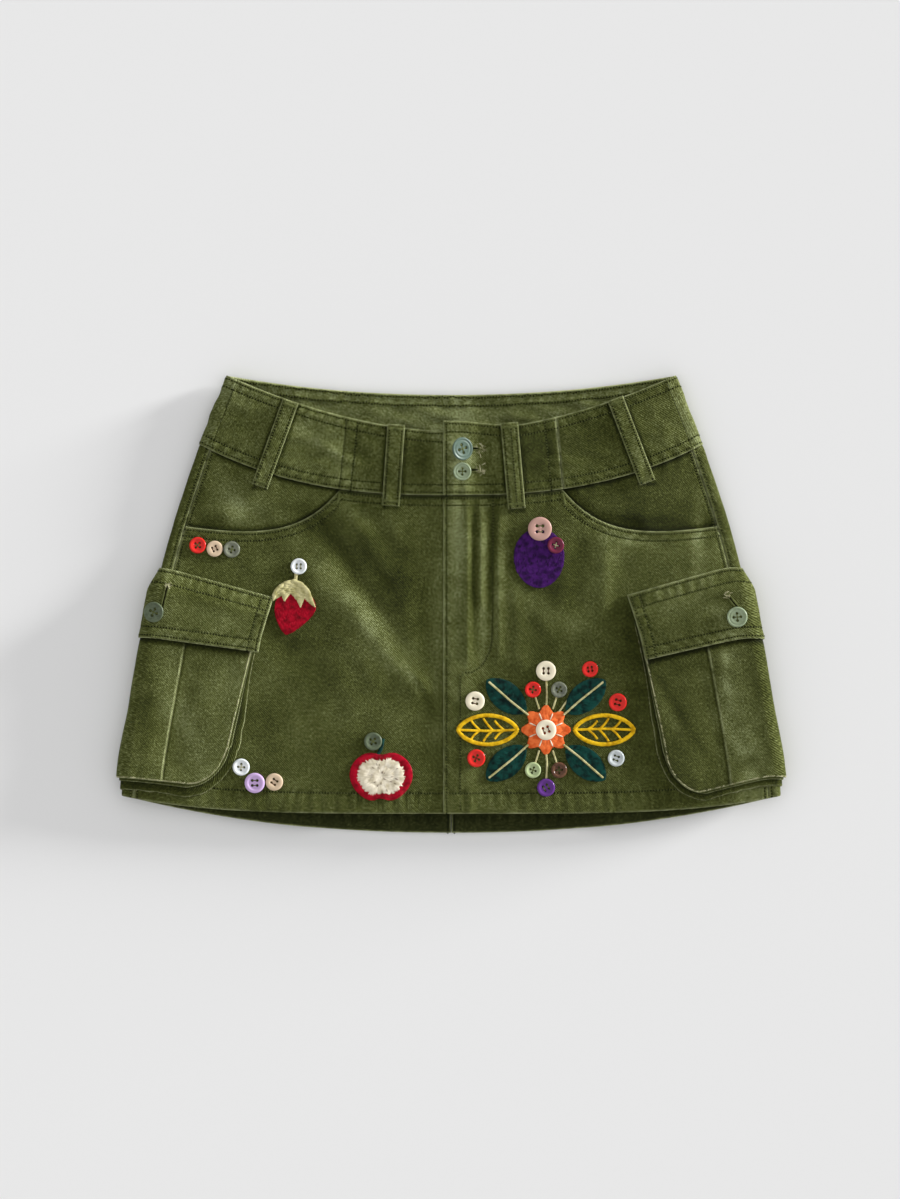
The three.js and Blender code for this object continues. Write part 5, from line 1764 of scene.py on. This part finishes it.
def stitches_between(starts, ends, material=0, wide=THREAD_WIDE, lift=THREAD_AT):
    starts, ends = np.asarray(starts, float), np.asarray(ends, float)
    halfway = (starts + ends) / 2
    place, up = laid_on(*halfway.T, lift + on_front(halfway[:, 0]))
    first, last = (surface(*spots.T, lift + on_front(spots[:, 0])) for spots in (starts, ends))
    long = np.linalg.norm(last - first, axis=1)
    across, high = wide * rng.uniform(0.85, 1.15, len(long)), THREAD_HIGH * rng.uniform(0.8, 1.25, len(long))
    size = np.stack([long + THREAD_ENDS, across, high], axis=1)
    return copies(GRAIN, place, last - first, up, size, material)


def long_and_short(middle, outline, degrees, long, ragged=0.35, lift=THREAD_AT):
    """Rows of stitches across an outline, side by side along one direction, with staggered ends."""
    shape = turned_by(outline, -degrees)
    following = np.roll(shape, -1, axis=0)
    starts, ends = [], []
    for level in np.arange(shape[:, 1].min() + THREAD_PITCH / 2, shape[:, 1].max(), THREAD_PITCH):
        crossed = (shape[:, 1] <= level) != (following[:, 1] <= level)
        a, b = shape[crossed], following[crossed]
        cuts = np.sort(a[:, 0] + (level - a[:, 1]) / (b[:, 1] - a[:, 1]) * (b[:, 0] - a[:, 0]))
        for x0, x1 in zip(cuts[::2], cuts[1::2]):
            x0, x1 = x0 - rng.uniform(0, ragged), x1 + rng.uniform(0, ragged)
            count = max(1, round((x1 - x0) / long + rng.uniform(-0.4, 0.4)))
            places = np.linspace(x0, x1, count + 1)
            places[1:-1] += rng.uniform(-0.3, 0.3, count - 1) * long
            starts += [(x, level) for x in places[:-1]]
            ends += [(x, level) for x in places[1:]]
    starts, ends = (middle + turned_by(np.array(spots), degrees) for spots in (starts, ends))
    return stitches_between(starts, ends, lift=lift)


def rays(middle, outline, inner, outer, pitch=THREAD_PITCH, ragged=0.3, lift=THREAD_AT):
    """Stitches that fan out from a motif's middle, from an inner to an outer share of its outline."""
    loop = np.concatenate([outline, outline[:1]])
    far = far_along(loop * outer)
    rim = at_distances(np.arange(0, far[-1], pitch), far, loop)
    reach = np.linalg.norm(rim, axis=1)
    shares = [share + rng.uniform(-ragged, ragged, len(rim)) / reach for share in (inner, outer)]
    return stitches_between(*(middle + rim * share[:, None] for share in shares), lift=lift)


def satin_line(knots, wide, material=0, d=0.5):
    line = dense(knots, 10)
    place, along, up = spaced(*laid_on(*line.T, d + on_front(line[:, 0])), CORD_PITCH)
    lean = np.cross(up, along) + along * rng.normal(0.12, 0.06, (len(place), 1))
    size = np.array([wide, CORD_THREAD, CORD_HIGH]) * rng.uniform(0.92, 1.08, (len(place), 1))
    return copies(GRAIN, place, lean, up, size, material)


def embroidered(motif, batches, thread, second=None, replaced=True):
    """Joins a motif's stitches. Its first material is the thread it is worked in."""
    materials = [THREADS[thread], *([second] if second else [])]
    joined(f"{motif}_embroidery", batches, materials, [motif] if replaced else ())


def ways_out(angles):
    return np.stack([np.cos(angles), np.sin(angles)], axis=1)


print("a stitch of embroidery is", THREAD_WIDE, "mm wide")

# %% [markdown]
# The strawberry is a padded fruit of long and short stitches, wide at the shoulders and drawn to a point.
# Its cap of leaves is a second, higher patch over it, whose stitches run across, so that it catches the
# light otherwise.

# %% Strawberry
STRAWBERRY = SimpleNamespace(middle=np.array([-121.8, -3.5]), half=16.0, tall=20.0, taper=0.5, tip=6.5)
CAP_MIDDLE = np.array([-122.0, 12.0])
CAP = [  # its upper edge from left to right, then the pointed lobes back again
    (-138.6, 3.0), (-139.4, 7.5), (-137.5, 11.5), (-134.1, 15.0), (-129.0, 18.2), (-122.9, 19.6),
    (-116.5, 17.2), (-110.9, 11.3), (-107.9, 3.5), (-106.2, -2.2), (-110.5, 1.0), (-114.6, 4.8),
    (-116.0, 1.2), (-117.6, -2.4), (-120.4, 3.2), (-125.1, 8.7), (-127.8, 5.8), (-130.0, 2.4),
    (-131.8, 6.2), (-133.4, 8.9), (-136.4, 6.8),
]


def strawberry_rule(c, s, angle):
    below = np.maximum(0, -s)
    x = STRAWBERRY.half * c * (1 - STRAWBERRY.taper * below**1.5) - STRAWBERRY.tip * below**1.4
    return x, STRAWBERRY.tall * s * np.where(s > 0, 0.8, 1)


fruit = outline_of(strawberry_rule)
batches = [padding(STRAWBERRY.middle, fruit), long_and_short(STRAWBERRY.middle, fruit, 84, 4.2, ragged=0.3)]
embroidered("strawberry_fruit", batches, "crimson")

cap = np.array(CAP) - CAP_MIDDLE
batches = [padding(CAP_MIDDLE, cap, high=1.3), long_and_short(CAP_MIDDLE, cap, 12, 5.0, lift=1.45)]
batches.append(satin_line([(-121.6, 18.0), (-120.6, 27)], 2.8, d=0.6))
embroidered("strawberry_leaf", batches, "pale_green")

# %% [markdown]
# The plum is one oval of slanting stitches. Small dark pits of painted shade lie between them, where uneven
# tension would let shadow in, and keep so large a patch from looking like plastic.

# %% Plum
PLUM = SimpleNamespace(middle=np.array([68.6, 36.0]), half=19.5, tall=23.0)
PLUM_PITS = 30
plum = outline_of(lambda c, s, angle: (PLUM.half * c * (1 + 0.05 * s), PLUM.tall * s))
turn, reach = rng.uniform(0, 2 * math.pi, PLUM_PITS), np.sqrt(rng.uniform(0, 0.8, PLUM_PITS))
pits = PLUM.middle + np.stack([PLUM.half * reach * np.cos(turn), PLUM.tall * reach * np.sin(turn)], axis=1)
batches = [
    padding(PLUM.middle, plum),
    long_and_short(PLUM.middle, plum, 112, 4.0),
    # dark marks in the needle holes' material: painted shade in pits between the stitches
    stitches_between(pits - (0.3, 0.9), pits + (0.3, 0.9), 1, wide=0.5, lift=THREAD_AT + 0.1),
]
embroidered("plum", batches, "purple", painted_hole_shade)

# %% [markdown]
# The apple is halved. Its skin is a ring of stitches that point to the middle, and its flesh fans out in
# two rounds whose ragged ends interlock, as a machine fills a circle.

# %% Apple
APPLE = SimpleNamespace(middle=np.array([-54.6, -134.5]), half=24.5, tall=20.5, flesh=0.75)
# the gaps are painted shade: short dark brown stitches in the flesh
APPLE_SHADE_GAPS = 22  # small dark gaps between the stitches of the flesh


def apple_rule(c, s, angle):
    dimple = 1 - 0.16 * bell(c, 0.28)
    return APPLE.half * c * (1 + 0.08 * s), APPLE.tall * s * dimple


apple = outline_of(apple_rule, 120)
batches = [padding(APPLE.middle, apple, inner=0.7), rays(APPLE.middle, apple, 0.7, 0.99, ragged=0.25)]
batches.append(satin_line([(-57.5, -118), (-54.5, -112), (-53.2, -105)], 3.0, 1))
embroidered("apple_skin", batches, "crimson", THREADS["teal"])

batches = [padding(APPLE.middle, apple * 0.72, high=1.0)]
batches.append(rays(APPLE.middle, apple, 0.05, 0.5, 0.9, ragged=2.2, lift=1.1))
batches.append(rays(APPLE.middle, apple, 0.4, APPLE.flesh, 0.78, ragged=1.2, lift=1.14))
turn, reach = rng.uniform(0, 2 * math.pi, APPLE_SHADE_GAPS), rng.uniform(3, 14, APPLE_SHADE_GAPS)
out = ways_out(turn)
gaps = APPLE.middle + out * reach[:, None]
# dark brown stitches: painted shade in small gaps of the flesh
batches.append(stitches_between(gaps - out * 0.9, gaps + out * 0.9, 1, wide=0.4, lift=1.32))
embroidered("apple_flesh", batches, "cream", THREADS["brown"])

# %% [markdown]
# The large motif at the hem is a spray: a round blossom between four solid leaves and two open ones, with
# buttons strewn round it like berries. The leaves' halves are stitched slanting to a pale rib, as leaf
# satin always is, and the open leaves are cords of satin over bare cloth.

# %% Blossom
SPRAY = np.array([74.0, -98.0])
BLOSSOM = SimpleNamespace(reach=17, petal=2.4, petals=8)


def blossom_rule(c, s, angle):
    reach = BLOSSOM.reach + BLOSSOM.petal * np.cos(BLOSSOM.petals * angle)
    return reach * c, reach * s


blossom = outline_of(blossom_rule, 128)
batches = [padding(SPRAY, blossom)]
batches += [rays(SPRAY, blossom, 0.55, 1.0, 0.8, 0.3), rays(SPRAY, blossom, 0.3, 0.64, 0.7, 0.9, lift=1.1)]
for out in ways_out(2 * math.pi * (np.arange(BLOSSOM.petals) + 0.5) / BLOSSOM.petals):
    batches.append(stitches_between([SPRAY + out * 8.5], [SPRAY + out * 13.8], 1, wide=1.0, lift=1.25))
embroidered("blossom", batches, "orange", THREADS["cream"])

# %% [markdown]
# Each kind of leaf is drawn once, along its own length, and turned to its places round the blossom. Points
# are given from the leaf's middle, so the same few numbers make every rib, vein and rim.

# %% Leaves of the spray
TEAL_LEAF = SimpleNamespace(start=21, end=60, width=22, turns=(40, 140, 220, 320))
OPEN_LEAF = SimpleNamespace(start=21, end=70, width=26, turns=(0, 180), cord=3.3)
LEAF_POINT = 0.35  # draws the leaves' ends out to points
SLANT = 42  # degrees between a leaf's stitches and its rib
CORD_SHARE = (0.94, 0.87)  # of the open leaves' length and width, to the middle of the cord round them
VEINS = ((-13, 5.5), (-4, 7.5), (6, 6.5))  # where a pair of veins leaves an open leaf's rib, and its reach
STEM_TURNS = (54, 72, 108, 252, 288)


def leaf_rule(leaf_sizes):
    def rule(c, s, angle):
        return (leaf_sizes.end - leaf_sizes.start) / 2 * c, leaf_sizes.width / 2 * s * np.abs(s) ** LEAF_POINT

    return rule


def along_leaf(leaf_sizes, degrees, points):
    points = np.asarray(points, float) + ((leaf_sizes.start + leaf_sizes.end) / 2, 0)
    return SPRAY + turned_by(points, degrees)


leaf_outline = outline_of(leaf_rule(TEAL_LEAF))
half_long = (TEAL_LEAF.end - TEAL_LEAF.start) / 2
for number, degrees in enumerate(TEAL_LEAF.turns, 1):
    middle = along_leaf(TEAL_LEAF, degrees, [(0, 0)])[0]
    batches = [padding(middle, turned_by(leaf_outline, degrees))]
    for side in (-1, 1):
        half = leaf_outline[leaf_outline[:, 1] * side >= -1e-9]
        half = turned_by(half[np.argsort(half[:, 0] * side)], degrees)
        batches.append(long_and_short(middle, half, degrees + side * SLANT, 9.0, ragged=0.25))
    rib = [(-half_long - 3, 0), (-half_long / 3, 0.5), (half_long / 3, 0.2), (half_long - 2, 0)]
    batches.append(satin_line(along_leaf(TEAL_LEAF, degrees, rib), 1.7, 1, d=1.3))
    embroidered(f"leaf_teal_{number}", batches, "teal", THREADS["pale_green"])

open_outline = outline_of(leaf_rule(OPEN_LEAF), 48)
half_long = (OPEN_LEAF.end - OPEN_LEAF.start) / 2
for number, degrees in enumerate(OPEN_LEAF.turns, 1):
    rim = along_leaf(OPEN_LEAF, degrees, np.concatenate([open_outline, open_outline[:1]]) * CORD_SHARE)
    rib = along_leaf(OPEN_LEAF, degrees, [(-half_long + 2, 0), (0, 0.8), (half_long - 2, 0)])
    batches = [satin_line(rim, OPEN_LEAF.cord, d=0.75), satin_line(rib, 2.1, d=0.6)]
    for x, reach in VEINS:
        for side in (-1, 1):
            vein = [(x, 0.4), (x + 4.5, side * reach * 0.62), (x + 7.5, side * (reach + 1.6))]
            batches.append(satin_line(along_leaf(OPEN_LEAF, degrees, vein), 1.8, d=0.55))
    embroidered(f"leaf_yellow_{number}", batches, "yellow")

stems = []
for side in (-1, 1):
    stem = [SPRAY + (0, side * 17), SPRAY + (0.8, side * 28), SPRAY + (0, side * 41)]
    stems.append(satin_line(stem, 1.7, d=0.5))
for out in ways_out(np.radians(STEM_TURNS)):
    stems.append(satin_line([SPRAY + out * 17, SPRAY + out * 30], 1.5, d=0.5))
embroidered("spray_stems", stems, "pale_green", replaced=False)

# %% [markdown]
# ## Buttons
# All are sew-through buttons with four holes: moulded polyester resin, turned horn, and a few of shell.
# They are polished, so they shine where cloth does not. Horn and shell show two close colours in soft
# bands, which noise mixes; resin is one even colour.

# %% Button finishes


def button_resin(name, colour, rough=0.3, cloud=None):
    """Moulded or turned button: a hard skin. cloud is the second colour of horn and shell, in soft bands."""
    material, shader = new_material(name, Roughness=rough, IOR=1.5, Specular_IOR_Level=0.3)
    if cloud:
        in_patches(material, shader, [(0.35, cloud), (0.65, colour)], Detail=3.0, Distortion=1.2)
    else:
        shader.inputs["Base Color"].default_value = linear(colour)
    return material


RESINS = {  # its material, its colour and how rough it is, and the second colour of horn and shell
    "horn": ("grey green horn", "546659", 0.4, "485a4f"),
    "red": ("glossy red resin", "d8231a", 0.22),
    "sage_horn": ("sage green horn", "92a184", 0.34, "82906f"),
    "peach": ("peach resin", "cfb79a", 0.34),
    "grey": ("turned grey horn", "7b7f6b", 0.36, "62665a"),
    "olive_horn": ("dark olive horn", "5f6b52", 0.36, "4a543f"),
    "pearl": ("white shell", "e8eaea", 0.2, "cfd6d8"),
    "lilac": ("lilac resin", "c9acd9", 0.24),
    "magenta": ("magenta resin", "681b36", 0.28),
    "pink": ("dusty pink resin", "b68f83", 0.34),
    "cream": ("cream resin", "ebe1c6", 0.3),
    "clear": ("milky resin", "ccd2d3", 0.2, "b4bcbc"),
    "leaf_green": ("pale green resin", "a8b787", 0.26),
    "brown": ("dark brown horn", "6a4732", 0.26, "4d3120"),
    "purple": ("purple resin", "5a2b7e", 0.22),
}
BUTTON_FINISHES = {name: button_resin(*look) for name, look in RESINS.items()}
print(len(BUTTON_FINISHES), "button finishes")

# %% [markdown]
# Blanks are turned on a lathe, which leaves a rounded rim and a dish, so each kind is one profile spun
# round. Its four holes are drilled by a boolean once, and copies are scaled to each size.

# %% Turn and drill a button
BUTTON_TALL = 2.0
AROUND = 40
HOLE_RADIUS, HOLES_OUT = 0.14, 0.35  # and how far the holes lie from the middle, as shares of the radius
UNDERSIDE = [(0.97, 0.6), (0.85, 0.15), (0.7, 0), (0, 0)]
PROFILES = {  # radius as a share of the button's, and height in mm, from the middle of the face to the rim
    "rimmed": [
        (0, 1.15), (0.4, 1.15), (0.56, 1.22), (0.66, 1.6), (0.74, 1.9), (0.84, 2.0), (0.93, 1.86),
        (0.985, 1.5), (1, 1.1),
    ],
    "cupped": [
        (0, 0.95), (0.5, 0.95), (0.58, 1.05), (0.64, 1.7), (0.7, 1.95), (0.8, 2.0), (0.92, 1.85),
        (0.985, 1.45), (1, 1.1),
    ],
    "domed": [
        (0, 1.35), (0.3, 1.38), (0.36, 1.52), (0.42, 1.72), (0.6, 1.88), (0.8, 1.92), (0.93, 1.75),
        (0.985, 1.45), (1, 1.1),
    ],
    "grooved": [
        (0, 1.3), (0.42, 1.3), (0.52, 1.42), (0.6, 1.62), (0.68, 1.62), (0.73, 1.42), (0.78, 1.5),
        (0.85, 1.95), (0.92, 1.95), (0.985, 1.6), (1, 1.15),
    ],
}


def turned(profile):
    shape = bmesh.new()
    corners = [shape.verts.new((radius, 0, height)) for radius, height in (*profile, *UNDERSIDE)]
    edges = [shape.edges.new(pair) for pair in zip(corners, corners[1:])]
    turn = {"cent": (0, 0, 0), "axis": (0, 0, 1), "angle": 2 * math.pi, "steps": AROUND}
    bmesh.ops.spin(shape, geom=corners + edges, use_merge=True, **turn)
    bmesh.ops.remove_doubles(shape, verts=shape.verts, dist=1e-4)
    bmesh.ops.recalc_face_normals(shape, faces=shape.faces)
    return shape


def drilled(name, profile):
    bits = bmesh.new()
    size = {"segments": 12, "radius1": HOLE_RADIUS, "radius2": HOLE_RADIUS, "depth": 4}
    for k in range(4):
        turn = math.radians(45 + 90 * k)
        spot = Matrix.Translation((HOLES_OUT * math.cos(turn), HOLES_OUT * math.sin(turn), 1))
        bmesh.ops.create_cone(bits, cap_ends=True, matrix=spot, **size)
    body, drills = in_scene(name, mesh_of(name, turned(profile))), in_scene("drills", mesh_of("drills", bits))
    cut = body.modifiers.new("drill", "BOOLEAN")
    cut.object, cut.operation, cut.solver = drills, "DIFFERENCE", "EXACT"
    result = bpy.data.meshes.new_from_object(body.evaluated_get(bpy.context.evaluated_depsgraph_get()))
    for thing in (body, drills):
        bpy.data.objects.remove(thing)
    return result


BLANKS = {name: drilled(f"{name} button", profile) for name, profile in PROFILES.items()}
print({name: len(mesh.polygons) for name, mesh in BLANKS.items()})

# %% [markdown]
# Each button takes its place and its size from its own solid, and lies square to the cloth under it.
# Strands of thread run over its face from hole to hole, in bars or in a cross.

# %% Sew the buttons on
KINDS = {  # button: its blank, its finish, its thread's colour and crossing, and its turn in degrees
    "waist_upper": ("grooved", "horn", "olive", "cross", 62),
    "waist_lower": ("grooved", "sage_horn", "olive", "cross", 45),
    "flap_left": ("grooved", "olive_horn", "olive", "cross", 20),
    "flap_right": ("grooved", "sage_horn", "olive", "cross", 50),
    "side_red": ("rimmed", "red", "olive", "cross", 5),
    "side_peach": ("domed", "peach", "brown", "bars", 25),
    "side_grey": ("rimmed", "grey", "olive", "cross", 30),
    "strawberry": ("rimmed", "pearl", "pale", "bars", 0),
    "apple": ("rimmed", "olive_horn", "olive", "cross", 10),
    "hem_white": ("rimmed", "pearl", "pale", "cross", 40),
    "hem_lilac": ("cupped", "lilac", "olive", "bars", 90),
    "hem_peach": ("domed", "peach", "brown", "bars", 55),
    "plum_pink": ("domed", "pink", "olive", "bars", 90),
    "plum_magenta": ("rimmed", "magenta", "pale", "cross", 30),
    "spray_middle": ("domed", "cream", "brown", "bars", 20),
    "spray_1": ("rimmed", "red", "brown", "bars", 75),
    "spray_2": ("rimmed", "red", "brown", "bars", 10),
    "spray_3": ("rimmed", "grey", "olive", "cross", 15),
    "spray_4": ("domed", "cream", "brown", "bars", 0),
    "spray_5": ("rimmed", "red", "olive", "cross", 35),
    "spray_6": ("domed", "cream", "brown", "bars", 80),
    "spray_7": ("rimmed", "red", "brown", "cross", 20),
    "spray_8": ("rimmed", "leaf_green", "olive", "cross", 25),
    "spray_9": ("rimmed", "purple", "olive", "bars", 30),
    "spray_10": ("cupped", "brown", "olive", "cross", 50),
    "spray_11": ("rimmed", "clear", "olive", "bars", 70),
}
# buttons whose finish differs a little from the one their slot is named after
LEAN = {"waist_upper": 28}  # degrees about y: its shank of thread pulls this one over
SEWN_WITH = {"pale": 2, "olive": 0, "brown": 3}
CROSSINGS = {  # the holes that strands run between, as signs of x and y
    "bars": (((-1, -1), (-1, 1)), ((1, -1), (1, 1))),
    "cross": (((-1, -1), (1, 1)), ((-1, 1), (1, -1))),
}
STRAND = SimpleNamespace(off=0.17, wide=0.36, high=0.4, over=0.4, lift=0.1)  # two lie side by side


def button_frame(name):
    """Middle, size and axes of a button, from its solid and from the cloth under it, in mm."""
    low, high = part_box(f"button_{name}")
    middle = np.array((low + high) / 2) / MM - ORIGIN
    size = max(high.x - low.x, high.y - low.y) / MM
    _, up = laid_on(*middle[None, :2].T, np.zeros(1))
    up = Vector(up[0])
    lean = Matrix.Rotation(math.radians(LEAN.get(name, 0)), 3, "Y")
    square = up.rotation_difference(Vector((0, 0, 1))).inverted().to_matrix()
    return Vector(middle), size, square @ lean


button_threads = []
for name, (blank, finish, thread, crossing, turn) in KINDS.items():
    middle, size, axes = button_frame(name)
    axes = axes @ Matrix.Rotation(math.radians(turn), 3, "Z")
    scaled = axes @ Matrix.Diagonal((size / 2, size / 2, 1))
    mesh = BLANKS[blank].copy()
    place = Matrix.Translation((middle + Vector(ORIGIN) - axes.col[2] * BUTTON_TALL / 2) * MM)
    mesh.transform(place @ Matrix.Diagonal((MM, MM, MM, 1)) @ scaled.to_4x4())
    as_piece(f"{name}_button", mesh, [BUTTON_FINISHES[finish]], [f"button_{name}"])
    level = PROFILES[blank][0][1] - BUTTON_TALL / 2 + STRAND.lift
    spot = HOLES_OUT * size / 2 * math.sqrt(0.5)
    for pair in CROSSINGS[crossing]:
        first, last = (axes @ Vector((x * spot, y * spot, level)) for x, y in pair)
        along = (last - first).normalized()
        strand = ((last - first).length + STRAND.over, STRAND.wide, STRAND.high)
        for off in (-STRAND.off, STRAND.off):
            centre = middle + (first + last) / 2 + axes.col[2].cross(along) * off
            at = [np.array(vector)[None] for vector in (centre, along, axes.col[2])]
            button_threads.append(copies(GRAIN, *at, strand, SEWN_WITH[thread]))
joined("button_threads", button_threads, [*SEWING, THREADS["brown"]])

# %% [markdown]
# ## Floor and light
# A pale floor without texture lets the cloth's colour and its outline speak. It is large enough that no
# side of it shows from a low angle, and lies just under the skirt.

# %% Floor
FLOOR_SIDE, FLOOR_BELOW = 20.0, 0.0005  # metres
floor_grid = bmesh.new()
bmesh.ops.create_grid(floor_grid, x_segments=1, y_segments=1, size=FLOOR_SIDE / 2)
floor_mesh = mesh_of("floor", floor_grid)
floor_paint, _ = new_material("matt white studio paper", Base_Color=linear("eeeeee"), Roughness=0.9, IOR=1.45)
floor_mesh.materials.append(floor_paint)
floor = in_scene("floor", floor_mesh)
floor.location.z = cad_box[0].z - FLOOR_BELOW
print("floor at", round(floor.location.z / MM, 2), "mm")

# %% [markdown]
# One low soft light comes from the right, a little from the waist's side, as through a wide window. It
# grazes the creases, so they show, and draws a wide faint shadow on the left. A pale surround fills the
# rest.

# %% Lights
SURROUND = 0.73
KEY_STRENGTH, KEY_SOFTNESS = 6.8, 11  # watts per square metre, and how many degrees wide the light looks
KEY_AROUND, KEY_ABOVE = 22, 5.5  # degrees from the right towards the waist, and above the floor
world = bpy.data.worlds.new("pale studio")
world.use_nodes = True
background = world.node_tree.nodes["Background"].inputs
background["Color"].default_value, background["Strength"].default_value = linear("ffffff"), SURROUND
bpy.context.scene.world = world
key_data = bpy.data.lights.new("low window light", "SUN")
key_data.energy, key_data.angle = KEY_STRENGTH, math.radians(KEY_SOFTNESS)
key = in_scene("low window light", key_data)
key.rotation_euler = (0, math.radians(90 - KEY_ABOVE), math.radians(KEY_AROUND))
bpy.context.scene.view_settings.view_transform = "Standard"
print("light comes in", KEY_ABOVE, "degrees above the floor")

# %% Measure the solids
print("solids", [round(side / MM, 1) for side in cad_box[1] - cad_box[0]], "mm")
